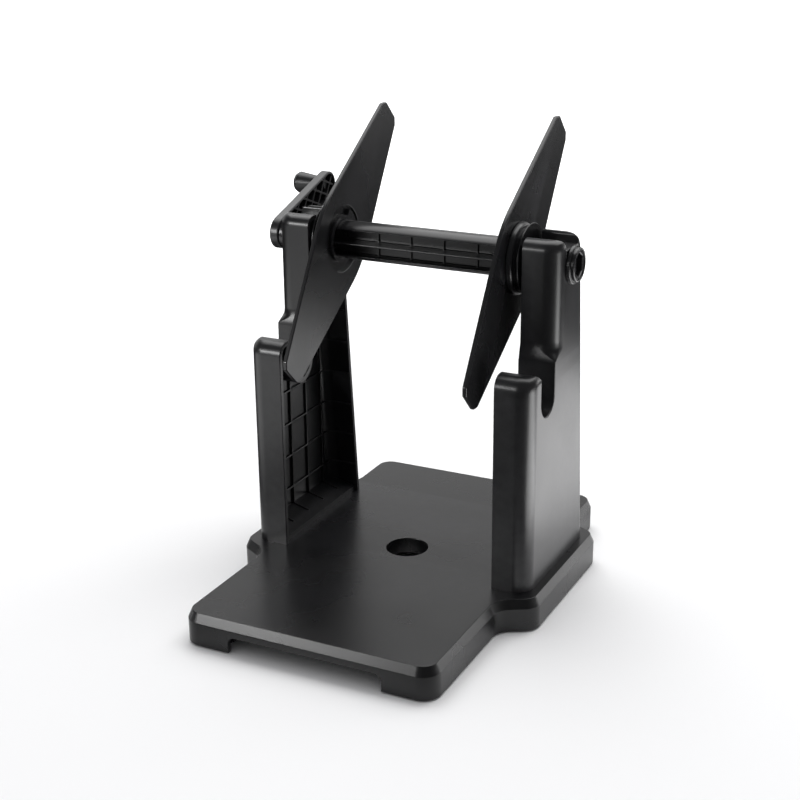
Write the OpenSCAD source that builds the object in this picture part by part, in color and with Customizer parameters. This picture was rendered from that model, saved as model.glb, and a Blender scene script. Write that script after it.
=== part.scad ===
// Label roll holder: a hollow base plate with two ribbed uprights that carry a roller shaft with two
// sliding baffles and a crank. Fan-fold labels lie on the plate, rolls hang on the shaft.
// Millimetres. X runs along the shaft, Y to the back, Z up. The origin is on the table under the
// middle of the base plate.

/* [Base] */
// Clear width between the two uprights
gap_w = 125.4; // [104:0.2:150]
// How far the base plate reaches out past the open side of an upright
plate_out = 9.5; // [6:0.5:12]
// Length of the base plate, front to back
plate_l = 232.4; // [216:0.2:260]
// Width of the ears outside the uprights that they carry
ear_step = 6.4; // [5:0.1:9]
// Height of the base's top face above the table
base_h = 18.6; // [16:0.1:24]
// Wall thickness of the skirt
skirt_t = 2.8; // [2:0.1:4]
// Thickness of the top face
deck_t = 3; // [2.4:0.1:4]
// How far the edge chamfer cuts into the top face
chamfer_in = 2.2; // [1:0.1:3]
// How far the edge chamfer runs down the skirt
chamfer_down = 4.9; // [2:0.1:6]
// Corner radius of the plate, seen from above
plate_r = 10; // [6:0.5:14]
// Radius of the hole in the middle of the top face
hole_r = 11.8; // [8:0.1:13]
// Distance of the hole behind the middle of the plate
hole_back = 3.1; // [-5:0.1:8]
// Width of the notch in the front and back skirts
notch_w = 88; // [60:1:100]
// Height of the notch above the skirt's lower edge
notch_h = 9.1; // [5:0.1:10]

/* [Feet] */
// Radius of a rubber foot
foot_r = 8; // [6:0.5:9]
// Thickness of a rubber foot
foot_t = 3; // [2:0.1:4]
// How far a foot stands out below the skirt
foot_proud = 0.8; // [0.5:0.1:1.5]
// Distance of a foot's centre from the plate's edges
foot_inset = 15; // [13:0.5:20]

/* [Uprights] */
// Width of an upright across the shaft's direction
upright_w = 20.7; // [18:0.1:21.5]
// Depth of an upright where it stands on the base
upright_d = 88.2; // [84:0.2:94]
// How much the back edge comes forward by the top
upright_lean = 15.8; // [12:0.2:16]
// Distance of the front face ahead of the plate's middle
upright_ahead = 23.6; // [18:0.2:28]
// Height of an upright above the top face
upright_h = 181.4; // [170:0.2:200]
// Height of the front post above the top face
post_h = 118.4; // [110:0.2:126]
// Wall thickness of an upright
upright_t = 2.5; // [2:0.1:3]
// Radius of the outer upright edges
edge_r = 9; // [6:0.5:10]
// Radius along the top of the outer wall
brow_r = 4.5; // [3:0.5:5]
// Radius of the front top edge of a column
front_top_r = 5.5; // [3:0.5:6]
// Radius of the front top edge of a post
post_top_r = 7; // [4:0.5:8]
// Radius of the back top edge
back_top_r = 10; // [6:0.5:11]
// Distance of the front slot's middle behind the front face
slot_back = 23.6; // [22:0.1:25]
// Height of the front slot's lower centre above the top face
slot_rise = 102.2; // [92:0.2:104]

/* [Roller] */
// Radius of the roller shaft
roller_r = 10.6; // [9.6:0.1:11.4]
// Radius of the shaft's journals
journal_r = 8; // [7.6:0.1:8.4]
// Distance of the shaft's axis behind the front face of the uprights
axle_back = 53.6; // [50:0.1:56]
// Depth of the shaft's axis below the top of the uprights
axle_drop = 14.6; // [13.4:0.2:21.4]
// Distance between the cross ribs of the shaft
shaft_pitch = 19.6; // [15:0.2:24]
// Distance of the rib pattern from the middle of the shaft
shaft_shift = 2.4; // [0:0.1:4]
// Radius of a bearing bush where it sits in an upright
bush_r = 9.1; // [8.9:0.1:9.6]
// Radius of a bush's flange
flange_r = 10.3; // [10.2:0.05:10.5]

/* [Baffles] */
// Clearance between a lock ring and the upright beside it
ring_gap = 2; // [1.2:0.1:20]
// Length of a baffle from tip to tip
baffle_l = 174; // [140:0.4:184]
// Width of a baffle at its middle
baffle_w = 57; // [48:0.2:64]
// Thickness of a baffle
baffle_t = 2.4; // [2:0.1:3]
// Angle of the left baffle from upright, towards the back
left_lean = 44; // [0:0.1:90]
// Angle of the right baffle from upright, towards the back
right_lean = 45.4; // [0:0.1:90]
// Width of a baffle where its tip's corners start
tip_w = 21; // [16:0.5:28]
// Outer radius of a baffle's collar
collar_r = 13.2; // [12.6:0.1:13.6]
// Outer radius of the recess round a collar
recess_r = 18.8; // [18:0.1:19.4]
// Outer radius of a lock ring at its foot
ring_r = 19.4; // [19.2:0.1:21]
// Width of a lock ring along the shaft
ring_w = 6.8; // [6:0.1:7.4]

/* [Crank] */
// Distance from the shaft's axis to the grip's axis
crank_l = 54.5; // [40:0.5:60]
// Angle of the crank above the horizontal, towards the back
crank_lift = 18.7; // [0:0.1:90]
// Thickness of the crank arm
arm_t = 5.5; // [4.5:0.1:7]
// Radius of the arm's end at the shaft
arm_hub_r = 9.2; // [8.5:0.1:11]
// Radius of the arm's end at the grip
arm_tip_r = 7.8; // [7:0.1:9]
// Radius of the grip at its free end
grip_r = 6.3; // [5.5:0.1:8]
// Radius of the grip at the arm
grip_root_r = 4.4; // [3.6:0.1:8]
// Length of the grip
grip_l = 15.8; // [12:0.2:40]

/* [Hidden] */
$fn = 96;

// Colours of the pieces
plastic = [0.12, 0.12, 0.13];
shade = [0.16, 0.16, 0.17];
gloss = [0.07, 0.07, 0.08];
rubber = [0.05, 0.05, 0.05];
steel = [0.62, 0.63, 0.65];

// Overrun of every cut, overlap of what is joined, and clearances
over = 1;
bite = 0.5;
seat = 0.3;
fit = 0.05;
slide_fit = 0.08;

// Base
plate_w = gap_w + 2 * plate_out;
ear_w = gap_w + 2 * (upright_w + ear_step);
skirt_z = foot_proud;
ear_blend_r = 11;
ear_corner_r = 9.5;
ear_slant = 29;
ear_lead = 2.9;
ear_trail = 2.4;
ear_out = (ear_w - plate_w) / 2;
ear_run = ear_out * tan(ear_slant);
ear_front = ear_lead - upright_ahead;
ear_back = upright_d - upright_ahead + ear_trail;
notch_r = 4;
rim = 0.7;
rib_t = 1.8;
rib_drop = 6;
hole_wall = 2.5;
rib_side_shares = [-0.32, 0.32];
rib_row_shares = [-0.33, -0.15, 0.17, 0.34];
foot_wall = 2;
foot_gap = 0.15;
foot_x = plate_w / 2 - foot_inset;
foot_y = plate_l / 2 - foot_inset;

// Uprights
slot_r = bush_r + seat;
inner_x = gap_w / 2;
outer_x = inner_x + upright_w;
front_y = -upright_ahead;
column_back = slot_back + slot_r;
mouth_r = 4.5;
lip_r = 2;
fade_below = 3;
fade_h = 14;
fade_rest = 0.6;
web_t = 0.9;
web_out = 2.2;
web_side = 0.9;
web_pitch_y = 17.7;
web_first_y = 20.5;
web_pitch_z = 19.9;
web_first_z = 18.4;
floor_in = 2;
floor_low = 3.2;
floor_high = 8.2;
floor_rib = 0.8;
screw_in = 13.5;
screw_front = 14;
screw_rear = 66;
screw_r = 2;
screw_pass_r = 2.3;
screw_head_r = 3.7;
screw_head_h = 2.4;
screw_l = 8.2;
pilot_l = 5.6;
drive_l = 4;
drive_w = 0.9;
drive_h = 1.4;

// Roller
axle_rise = upright_h - axle_drop;
axle_y = front_y + axle_back;
axle_z = base_h + axle_rise;
shoulder_gap = 0.5;
shoulder_x = inner_x - shoulder_gap;
bush_flange_t = 2;
bush_nose = 2.1;
bush_end = outer_x + seat + bush_flange_t + bush_nose;
nose_r = bush_r;
flange_edge = 0.5;
end_x = bush_end - flange_edge;
pocket_floor = 3.6;
pocket_z = 7;
mid_rib_t = 1;
cross_rib_t = 0.8;
pocket_end = 9;
rib_count = ceil(gap_w / 2 / shaft_pitch);
socket_l = 16;
socket_w = 8.8;
socket_h = 13;
socket_shoulder_share = 0.3;

// Baffles
roll_w = gap_w - 2 * (ring_gap + ring_w + seat + baffle_t);
baffle_in = roll_w / 2;
baffle_out = baffle_in + baffle_t;
baffle_bore = roller_r + slide_fit;
waist_r = 56;
tip_cut = 3.3;
tip_r = 1.6;
recess_d = 1.3;
window_from = -25;
window_to = 60;
collar_l = 5;
ring_foot_w = 0.8;
ring_waist_r = 17;
ring_rim_r = 19.4;
ring_flare = 3;
ring_rim_w = 1.2;
ring_wall = 1.5;
ring_bore = collar_r + slide_fit;
ring_mouth = roller_r + seat;
lug_r = 17.6;
lug_sweep = 36;
lug_gap = 1.5;
lug_below = 0.6;

// Crank
arm_in = bush_end + seat;
arm_out = arm_in + arm_t;
arm_skin = 1.8;
arm_rim = 1.4;
arm_rib = 1;
arm_rib_pitch = 11;
arm_rib_lead = 2;
arm_rib_turn = 50;
arm_rib_down = 0.8;
hub_boss_r = 6.6;
tip_boss_r = 2.8;
plug_l = 13;
plug_gap = 0.2;
bolt_r = 1.6;
bolt_head_r = 3.1;
bolt_head_h = 2;
bolt_l = 26;
bolt_tip = arm_out - bolt_head_h - bolt_l;
grip_start = arm_out + seat;
grip_end = grip_start + grip_l;
grip_edge = 1.1;
pin_r = 2.2;
pin_root_r = 1.5;
pin_head_r = 3.4;
pin_head_h = 1.8;
cap_r = 4.4;
cap_t = 1.4;
cap_gap = 0.1;
pocket_depth = cap_t + pin_head_h + seat;

// Corner of an outline turned into an arc: p, q and s are neighbours, q holds its own radius
function flat(q) = [q[0], q[1]];
function unit(v) = v / norm(v);
function arc_at(p, q, s, n) =
    let (a = unit(flat(p) - flat(q)),
         b = unit(flat(s) - flat(q)),
         half = acos(max(-1, min(1, a * b))) / 2,
         c = flat(q) + unit(a + b) * q[2] / sin(half),
         t = flat(q) + a * q[2] / tan(half) - c,
         e = flat(q) + b * q[2] / tan(half) - c,
         from = atan2(t[1], t[0]),
         turn = (atan2(e[1], e[0]) - from + 540) % 360 - 180)
    [for (i = [0:n]) c + q[2] * [cos(from + turn * i / n), sin(from + turn * i / n)]];
function rounded(points, n = 8) =
    let (m = len(points))
    [for (i = [0:m - 1])
        each points[i][2] > 0
            ? arc_at(points[(i + m - 1) % m], points[i], points[(i + 1) % m], n)
            : [flat(points[i])]];

// Solid between outlines of the same point count, each at its own height. The end faces are one
// polygon each, or strips across from side to side for an outline that mirrors itself.
module loft(rings, heights, strips = false) {
    m = len(rings[0]);
    k = len(rings);
    points = [for (j = [0:k - 1]) for (q = rings[j]) [q[0], q[1], heights[j]]];
    sides = [for (j = [0:k - 2]) for (i = [0:m - 1])
        [j * m + i, (j + 1) * m + i, (j + 1) * m + (i + 1) % m, j * m + (i + 1) % m]];
    end = strips ? [for (i = [0:m / 2 - 2]) [i, i + 1, m - 2 - i, m - 1 - i]] : [[for (i = [0:m - 1]) i]];
    lid = [for (face = end) [for (n = [len(face) - 1:-1:0]) (k - 1) * m + face[n]]];
    polyhedron(points, concat(end, sides, lid), convexity = 6);
}

// A disc or tube along the shaft's direction, from x0 to x1
module rod(r, x0, x1) {
    translate([x0, 0, 0]) rotate([0, 90, 0]) cylinder(r = r, h = x1 - x0);
}
module cone_x(r0, r1, x0, x1) {
    translate([x0, 0, 0]) rotate([0, 90, 0]) cylinder(r1 = r0, r2 = r1, h = x1 - x0);
}
module at_axle() { translate([0, axle_y, axle_z]) children(); }
module other_side(left) { mirror([left ? 1 : 0, 0, 0]) children(); }

// Outline drawn in Y and Z, pushed along X from x0 to x1
module slab_x(points, x0, x1) {
    translate([x0, 0, 0]) rotate([90, 0, 90]) linear_extrude(x1 - x0, convexity = 6) polygon(points);
}

// Outline of the base seen from above, drawn in by d
function base_outline(d) =
    let (w = plate_w / 2 - d,
         l = plate_l / 2 - d,
         e = ear_w / 2 - d,
         s = d / cos(ear_slant) - d * tan(ear_slant),
         right = [[w, -l, plate_r - d],
                  [w, ear_front - ear_run + s, ear_blend_r + d],
                  [e, ear_front + s, ear_corner_r - d],
                  [e, ear_back - s, ear_corner_r - d],
                  [w, ear_back + ear_run - s, ear_blend_r + d],
                  [w, l, plate_r - d]])
    rounded(concat(right, [for (i = [5:-1:0]) [-right[i][0], right[i][1], right[i][2]]]));

// Notch under the front and back skirts, open below
module notch() {
    r = notch_r;
    w = notch_w / 2;
    translate([0, plate_l / 2 + over, 0]) rotate([90, 0, 0])
        linear_extrude(plate_l + 2 * over)
            polygon(rounded([[-w, -over, 0], [w, -over, 0],
                             [w, skirt_z + notch_h, r], [-w, skirt_z + notch_h, r]]));
}

module screw_places() {
    for (side = [-1, 1])
        for (y = [screw_front, screw_rear])
            translate([side * (inner_x + screw_in), front_y + y, base_h]) children();
}

module foot_places() {
    for (x = [-foot_x, foot_x]) for (y = [-foot_y, foot_y]) translate([x, y, 0]) children();
}

module base() {
    color(plastic)
    difference() {
        union() {
            difference() {
                union() {
                    translate([0, 0, skirt_z])
                        linear_extrude(base_h - chamfer_down - skirt_z) polygon(base_outline(0));
                    loft([base_outline(0), base_outline(chamfer_in)], [base_h - chamfer_down, base_h], true);
                }
                linear_extrude(base_h - deck_t) polygon(base_outline(skirt_t));
                notch();
            }
            // ribs under the top face
            for (s = rib_side_shares)
                translate([s * plate_w - rib_t / 2, skirt_t - plate_l / 2, base_h - deck_t - rib_drop])
                    cube([rib_t, plate_l - 2 * skirt_t, rib_drop]);
            for (s = rib_row_shares)
                translate([skirt_t - plate_w / 2, s * plate_l - rib_t / 2, base_h - deck_t - rib_drop])
                    cube([plate_w - 2 * skirt_t, rib_t, rib_drop]);
            translate([0, hole_back, base_h - deck_t - rib_drop])
                cylinder(r = hole_r + hole_wall, h = rib_drop);
            // round sockets that hold the feet
            foot_places() translate([0, 0, skirt_z])
                cylinder(r = foot_r + foot_gap + foot_wall, h = base_h - deck_t - skirt_z);
        }
        translate([0, hole_back, 0]) cylinder(r = hole_r, h = base_h + over);
        translate([0, hole_back, base_h - rim])
            cylinder(r1 = hole_r, r2 = hole_r + rim + over, h = rim + over);
        foot_places() cylinder(r = foot_r + foot_gap, h = foot_t);
        screw_places() translate([0, 0, -deck_t - over]) cylinder(r = screw_pass_r, h = deck_t + 2 * over);
    }
}

module foot(x, y) {
    color(rubber)
    translate([x, y, 0]) cylinder(r = foot_r, h = foot_t);
}

// Uprights are drawn with x from their open side, y from their front face and z from the top face of
// the base. The form is drawn in by side at the front, back and top, and by out at the outer wall.
// A form that is drawn in runs out through the open side and the foot.
module upright_form(side, out, fade) {
    r = edge_r - side;
    rolled_block(0, post_h - side, side, out, r, post_top_r, edge_r, false);
    rolled_block(column_back, upright_h - side, side, out, r, front_top_r, back_top_r, fade);
}

// Block behind y0 up to top, with a back that slants forward and round outer edges. Its top rolls over
// at the front, outside and back. Where it fades, its outer front edge is sharp below the post's top.
module rolled_block(y0, top, side, out, r, front_r, back_r, fade) {
    steps = 8;
    start = side > 0 ? -over : 0;
    lean = upright_lean / upright_h;
    roll_front = max(front_r - side, fade_rest);
    roll_out = max(brow_r - side, fade_rest);
    roll_back = max(back_r - side, fade_rest);
    high = max(roll_front, roll_out, roll_back);
    fade_z = post_h - fade_below;
    rises = concat([start],
                   fade ? [for (i = [0:steps]) fade_z + fade_h * i / steps] : [],
                   [top - high],
                   [for (i = [1:steps]) top - high + high * sin(90 * i / steps)]);
    rings = [for (z = rises)
        let (front = y0 + side + rolled(roll_front, top - z),
             back = upright_d - side - lean * z - rolled(roll_back, top - z),
             inset = rolled(roll_out, top - z),
             w = upright_w - out - inset,
             turn_r = fade ? r * eased((z - fade_z) / fade_h) : r)
        rounded([[start, front, 0], [w, front, max(turn_r - inset, fade_rest)],
                 [w, back, max(r - inset, fade_rest)], [start, back, 0]])];
    loft(rings, rises);
}

// How far a roll of radius r draws a face in at a depth below its top
function rolled(r, depth) = depth >= r ? 0 : r - sqrt(r * r - (r - depth) * (r - depth));
function eased(t) = (1 - cos(180 * max(0, min(1, t)))) / 2;

// Space of the front slot, or of its wall when grown
module slot_space(grow) {
    r = slot_r + grow;
    translate([0, slot_back, slot_rise]) rod(r, -over, upright_w + over);
    translate([-over, slot_back - r, slot_rise])
        cube([upright_w + 2 * over, 2 * r, post_h - slot_rise + over]);
}

// Space of the saddle that the bush stands in, or of its wall when grown
module saddle_space(grow) {
    r = slot_r + grow;
    translate([0, axle_back, axle_rise]) rod(r, -over, upright_w + over);
    translate([-over, axle_back - r, axle_rise])
        cube([upright_w + 2 * over, 2 * r, upright_h - axle_rise + over]);
}

// Rounded lead-in along the top edge of a slot that lies on the side of turn from y
module lead_in(y, z, r, turn) {
    corner = concat([[over, -r], [over, over], [-r, over]],
                    [for (a = [90:-15:0]) [r * cos(a) - r, r * sin(a) - r]]);
    slab_x([for (q = corner) [y + turn * q[0], z + q[1]]], -over, upright_w + over);
}

module upright_body() {
    difference() {
        union() {
            difference() {
                upright_form(0, 0, true);
                upright_form(upright_t, upright_t, false);
            }
            // walls of the slot and the saddle
            intersection() {
                upright_form(0, 0, true);
                union() {
                    slot_space(upright_t);
                    saddle_space(upright_t);
                }
                upright_form(upright_t - bite, upright_t - bite, false);
            }
            // low web on the inside of the walls
            difference() {
                intersection() {
                    upright_form(upright_t - bite, upright_t - bite, false);
                    union() {
                        for (z = [web_first_z:web_pitch_z:upright_h - back_top_r - web_t])
                            let (y = z < post_h - post_top_r - web_t ? 0 : column_back)
                            translate([0, y, z - web_t / 2]) cube([upright_w, upright_d - y, web_t]);
                        for (y = [web_first_y:web_pitch_y:upright_d])
                            translate([0, y - web_t / 2, 0]) cube([upright_w, web_t, upright_h]);
                    }
                }
                upright_form(upright_t + web_side, upright_t + web_out, false);
            }
            // sloping floor with the feet of the upright ribs
            intersection() {
                upright_form(upright_t - bite, upright_t - bite, false);
                union() {
                    floor_wedge(0, 0, upright_d);
                    for (y = [web_first_y:web_pitch_y:upright_d])
                        floor_wedge(floor_rib, y - web_t / 2, web_t);
                }
            }
        }
        slot_space(0);
        saddle_space(0);
        lead_in(slot_back - slot_r, post_h, mouth_r, 1);
        lead_in(axle_back - slot_r, upright_h, lip_r, 1);
        lead_in(axle_back + slot_r, upright_h, lip_r, -1);
        for (y = [screw_front, screw_rear])
            translate([screw_in, y, -over]) cylinder(r = screw_r + fit, h = pilot_l + over);
    }
}

module floor_wedge(lift, y, t) {
    translate([0, y + t, 0]) rotate([90, 0, 0]) linear_extrude(t)
        polygon([[floor_in, 0], [upright_w, 0],
                 [upright_w, floor_high + lift], [floor_in, floor_low + lift]]);
}

module upright(left) {
    color(plastic)
    other_side(left) translate([inner_x, front_y, base_h]) upright_body();
}

module upright_screws() {
    color(steel)
    screw_places() translate([0, 0, -deck_t]) {
        cylinder(r = screw_r, h = screw_l);
        difference() {
            translate([0, 0, -screw_head_h]) cylinder(r = screw_head_r, h = screw_head_h);
            translate([0, 0, -screw_head_h]) mirror([0, 0, 1]) cross_slot();
        }
    }
}

// Bearing bush: a block with a round foot that stands in the saddle, a flange and a nose outside
module end_bush(left) {
    color(shade)
    at_axle() other_side(left) difference() {
        union() {
            rod(bush_r, inner_x, outer_x);
            translate([inner_x, -bush_r, 0]) cube([upright_w, 2 * bush_r, bush_r]);
            rod(nose_r - flange_edge, outer_x - over, bush_end);
            rod(nose_r, outer_x - over, bush_end - flange_edge);
            rod(flange_r - flange_edge, outer_x + seat, outer_x + seat + bush_flange_t);
            rod(flange_r, outer_x + seat + flange_edge, outer_x + seat + bush_flange_t - flange_edge);
        }
        rod(journal_r + fit, inner_x - over, bush_end + over);
    }
}

// Socket in a shaft end, or the plug that fits it when drawn in
function socket_outline(d) =
    let (w = socket_w / 2 - d,
         h = socket_h / 2 - d,
         s = socket_shoulder_share * socket_h)
    [[w, -s], [w, s], [0, h], [-w, s], [-w, -s], [0, -h]];

module roller_shaft() {
    stop_x = shoulder_x - pocket_end;
    ribs = [for (k = [-rib_count:rib_count])
        let (x = shaft_shift + (k + 0.5) * shaft_pitch)
        if (abs(x) < stop_x - cross_rib_t) x];
    edges = concat([-stop_x], ribs, [stop_x]);
    color(gloss)
    at_axle() difference() {
        union() {
            rod(journal_r, -end_x, end_x);
            rod(roller_r, -shoulder_x, shoulder_x);
        }
        // pockets between the ribs at the front and the back
        for (side = [0, 1]) for (row = [0, 1]) for (i = [0:len(edges) - 2])
            mirror([0, side, 0]) mirror([0, 0, row])
                translate([edges[i] + cross_rib_t / 2, pocket_floor, mid_rib_t / 2])
                    cube([edges[i + 1] - edges[i] - cross_rib_t, roller_r, pocket_z - mid_rib_t / 2]);
        // sockets in both ends and the hole for the crank's screw
        for (left = [false, true])
            other_side(left) slab_x(socket_outline(0), end_x - socket_l, end_x + over);
        other_side(true) rod(bolt_r + fit, bolt_tip - seat, end_x);
    }
}

// Outline of a baffle, a long rhombus with a round waist and cut-off tips. The waist is an arc that
// the straight edges touch.
function baffle_outline() =
    let (tip = baffle_l / 2,
         v = tip_w / 2,
         cv = baffle_w / 2 - waist_r,
         reach = [tip - tip_cut, v - cv],
         slope = atan2(reach[0], reach[1]) - acos(waist_r / norm(reach)),
         apex = cv + waist_r / cos(slope),
         half = [[v - tip_cut, tip, tip_r], [-v + tip_cut, tip, tip_r],
                 [-v, tip - tip_cut, tip_r], [-apex, 0, waist_r], [-v, tip_cut - tip, tip_r]])
    rounded(concat(half, [for (q = half) [-q[0], -q[1], q[2]]]), 10);

// Sector about the shaft's axis between two angles from a baffle's long axis
module sector_x(from, to, x0, x1) {
    steps = 6;
    arc = [for (i = [0:steps]) from + (to - from) * i / steps];
    slab_x(concat([[0, 0]], [for (a = arc) baffle_w * [-sin(a), cos(a)]]), x0, x1);
}

// Tube about the shaft's axis
module tube_x(r, bore, x0, x1) {
    difference() {
        rod(r, x0, x1);
        rod(bore, x0 - over, x1 + over);
    }
}

module baffle(left) {
    color(gloss)
    at_axle() rotate([left ? -left_lean : -right_lean, 0, 0]) other_side(left) difference() {
        union() {
            slab_x(baffle_outline(), baffle_in, baffle_out);
            rod(collar_r, baffle_in, baffle_out + collar_l);
        }
        rod(baffle_bore, baffle_in - over, baffle_out + collar_l + over);
        // recess round the collar, and the window that the lock ring's lug turns in
        tube_x(recess_r, collar_r, baffle_in - over, baffle_in + recess_d);
        intersection() {
            tube_x(recess_r, collar_r, baffle_in - over, baffle_out + over);
            sector_x(window_from, window_to, baffle_in - over, baffle_out + over);
        }
    }
}

// Ring outside a baffle: turned, it locks the baffle on the shaft
module lock_ring(left) {
    foot = baffle_out + seat;
    end = foot + ring_w;
    in_foot = ring_r - ring_waist_r;
    in_rim = ring_rim_r - ring_waist_r;
    dome = ring_flare - ring_foot_w;
    flare = ring_w - ring_rim_w - ring_flare;
    quarter = [0:15:90];
    profile = concat(
        [[ring_bore, foot], [ring_r, foot]],
        [for (a = quarter) [ring_waist_r + in_foot * cos(a), foot + ring_foot_w + dome * sin(a)]],
        [for (a = quarter) [ring_rim_r - in_rim * cos(a), foot + ring_flare + flare * sin(a)]],
        [[ring_rim_r, end], [ring_mouth, end], [ring_mouth, end - ring_wall], [ring_bore, end - ring_wall]]);
    lug_from = window_from + lug_gap;
    color(gloss)
    at_axle() rotate([left ? -left_lean : -right_lean, 0, 0]) other_side(left) {
        rotate([0, 90, 0]) rotate_extrude() polygon(profile);
        intersection() {
            tube_x(lug_r, ring_bore, baffle_in + lug_below, foot + bite);
            sector_x(lug_from, lug_from + lug_sweep, baffle_in, foot + over);
        }
    }
}

// Outline of the crank arm along its own length, drawn in by d
module arm_2d(d) {
    hull() {
        circle(r = arm_hub_r - d);
        translate([crank_l, 0]) circle(r = arm_tip_r - d);
    }
}

module arm_slab(d, x0, x1) {
    translate([x0, 0, 0]) rotate([90, 0, 90]) linear_extrude(x1 - x0) arm_2d(d);
}

module at_crank() { at_axle() mirror([1, 0, 0]) rotate([crank_lift, 0, 0]) children(); }

module crank_arm() {
    rib_in = arm_in + arm_rib_down;
    rib_end = arm_out - arm_skin + bite;
    rib_h = rib_end - rib_in;
    color(plastic)
    at_crank() difference() {
        union() {
            difference() {
                arm_slab(0, arm_in, arm_out);
                arm_slab(arm_rim, arm_in - over, arm_out - arm_skin);
            }
            // lattice of crossed ribs in the open side
            intersection() {
                arm_slab(arm_rim - bite, rib_in, rib_end);
                for (y = [crank_l + arm_rib_lead:-arm_rib_pitch:0]) for (turn = [-1, 1])
                    translate([rib_in, y, 0]) rotate([turn * arm_rib_turn, 0, 0])
                        translate([0, -arm_rib / 2, -2 * arm_hub_r]) cube([rib_h, arm_rib, 4 * arm_hub_r]);
            }
            rod(hub_boss_r, arm_in, rib_end);
            translate([0, crank_l, 0]) rod(tip_boss_r, rib_in, rib_end);
            rotate([-crank_lift, 0, 0]) slab_x(socket_outline(plug_gap), arm_in - plug_l, arm_in + bite);
        }
        rod(bolt_r + fit, arm_in - plug_l - over, arm_out + over);
        rod(bolt_head_r + cap_gap, arm_out - bolt_head_h, arm_out + over);
        translate([0, crank_l, 0]) rod(pin_root_r + fit, arm_in, arm_out + over);
    }
}

// Crossed slots in a screw head whose face is at z 0
module cross_slot() {
    for (turn = [0, 90]) rotate([0, 0, turn])
        translate([-drive_l / 2, -drive_w / 2, -drive_h]) cube([drive_l, drive_w, drive_h + over]);
}

module crank_screw() {
    head = arm_out - bolt_head_h;
    color(steel)
    at_crank() difference() {
        union() {
            rod(bolt_r, bolt_tip, head + bite);
            rod(bolt_head_r, head, arm_out);
        }
        translate([arm_out, 0, 0]) rotate([0, 90, 0]) cross_slot();
    }
}

module crank_grip() {
    color(plastic)
    at_crank() translate([0, crank_l, 0]) difference() {
        union() {
            cone_x(grip_root_r, grip_r, grip_start, grip_end - grip_edge);
            cone_x(grip_r, grip_r - grip_edge, grip_end - grip_edge, grip_end);
        }
        rod(pin_r + fit, grip_start - over, grip_end);
        rod(pin_head_r + seat, grip_end - pocket_depth, grip_end);
        rod(cap_r + cap_gap, grip_end - cap_t, grip_end + over);
    }
}

module grip_pin() {
    head = grip_end - pocket_depth + seat / 2;
    color(steel)
    at_crank() translate([0, crank_l, 0]) {
        rod(pin_root_r, arm_in + arm_rib_down, arm_out + bite);
        rod(pin_r, arm_out, head + bite);
        rod(pin_head_r, head, head + pin_head_h);
    }
}

module grip_cap() {
    color(plastic)
    at_crank() translate([0, crank_l, 0]) rod(cap_r, grip_end - cap_t, grip_end);
}

base();
foot(-foot_x, -foot_y);  // foot_front_left
foot(foot_x, -foot_y);  // foot_front_right
foot(-foot_x, foot_y);  // foot_rear_left
foot(foot_x, foot_y);  // foot_rear_right
upright(true);  // left_upright
upright(false);  // right_upright
upright_screws();
end_bush(true);  // left_end_bush
end_bush(false);  // right_end_bush
roller_shaft();
baffle(true);  // left_baffle
baffle(false);  // right_baffle
lock_ring(true);  // left_lock_ring
lock_ring(false);  // right_lock_ring
crank_arm();
crank_screw();
crank_grip();
grip_pin();
grip_cap();
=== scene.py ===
# Label roll holder: the looks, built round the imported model.
# Meshes are drawn in millimetres in the model's own frame and turned into metres when they are settled.
import math

import bmesh
import bpy
from mathutils import Matrix, Vector


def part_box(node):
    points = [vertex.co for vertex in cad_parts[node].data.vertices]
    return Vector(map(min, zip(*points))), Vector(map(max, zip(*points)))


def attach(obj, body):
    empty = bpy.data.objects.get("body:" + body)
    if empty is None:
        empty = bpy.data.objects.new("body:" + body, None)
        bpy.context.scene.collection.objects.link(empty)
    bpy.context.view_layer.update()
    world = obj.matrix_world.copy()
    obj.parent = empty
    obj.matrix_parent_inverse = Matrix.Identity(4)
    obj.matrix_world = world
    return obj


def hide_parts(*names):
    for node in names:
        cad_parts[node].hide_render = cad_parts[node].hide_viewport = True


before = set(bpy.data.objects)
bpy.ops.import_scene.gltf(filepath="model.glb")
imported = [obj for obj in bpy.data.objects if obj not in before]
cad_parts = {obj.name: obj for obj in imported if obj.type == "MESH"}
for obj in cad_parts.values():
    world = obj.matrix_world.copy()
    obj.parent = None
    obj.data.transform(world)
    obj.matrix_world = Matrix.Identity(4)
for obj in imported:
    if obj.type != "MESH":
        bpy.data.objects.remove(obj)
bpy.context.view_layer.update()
mm = 0.001
rightAngle = math.pi / 2
over = 1.0  # how far a cutting shape runs past what it cuts
bite = 0.5  # how far a joined shape reaches into its neighbour
# Steps of a full turn, and steps of a shorter curve
around = {"pilot": 24, "hole": 32, "thread": 40, "boss": 48, "pad": 64, "plain": 72, "bush": 96,
          "shaft": 120}
bends = {"rim": 3, "flare": 4, "edge": 5, "fillet": 6, "crown": 8, "dome": 10, "corner": 12, "ear": 14,
         "roll": 16, "tip": 20, "slot": 24}


def linked(name, data):
    made = bpy.data.objects.new(name, data)
    bpy.context.scene.collection.objects.link(made)
    return made


# Camera: it stands where the photograph was taken from
cameraView = {
    "place": (338.756, -682.196, 382.961),  # mm
    "yaw": 26.5427, "pitch": 19.8696, "roll": -0.5504,  # degrees
    "lens": 67.227, "sensor": 36.0, "near": 0.01, "far": 100,
}


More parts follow.
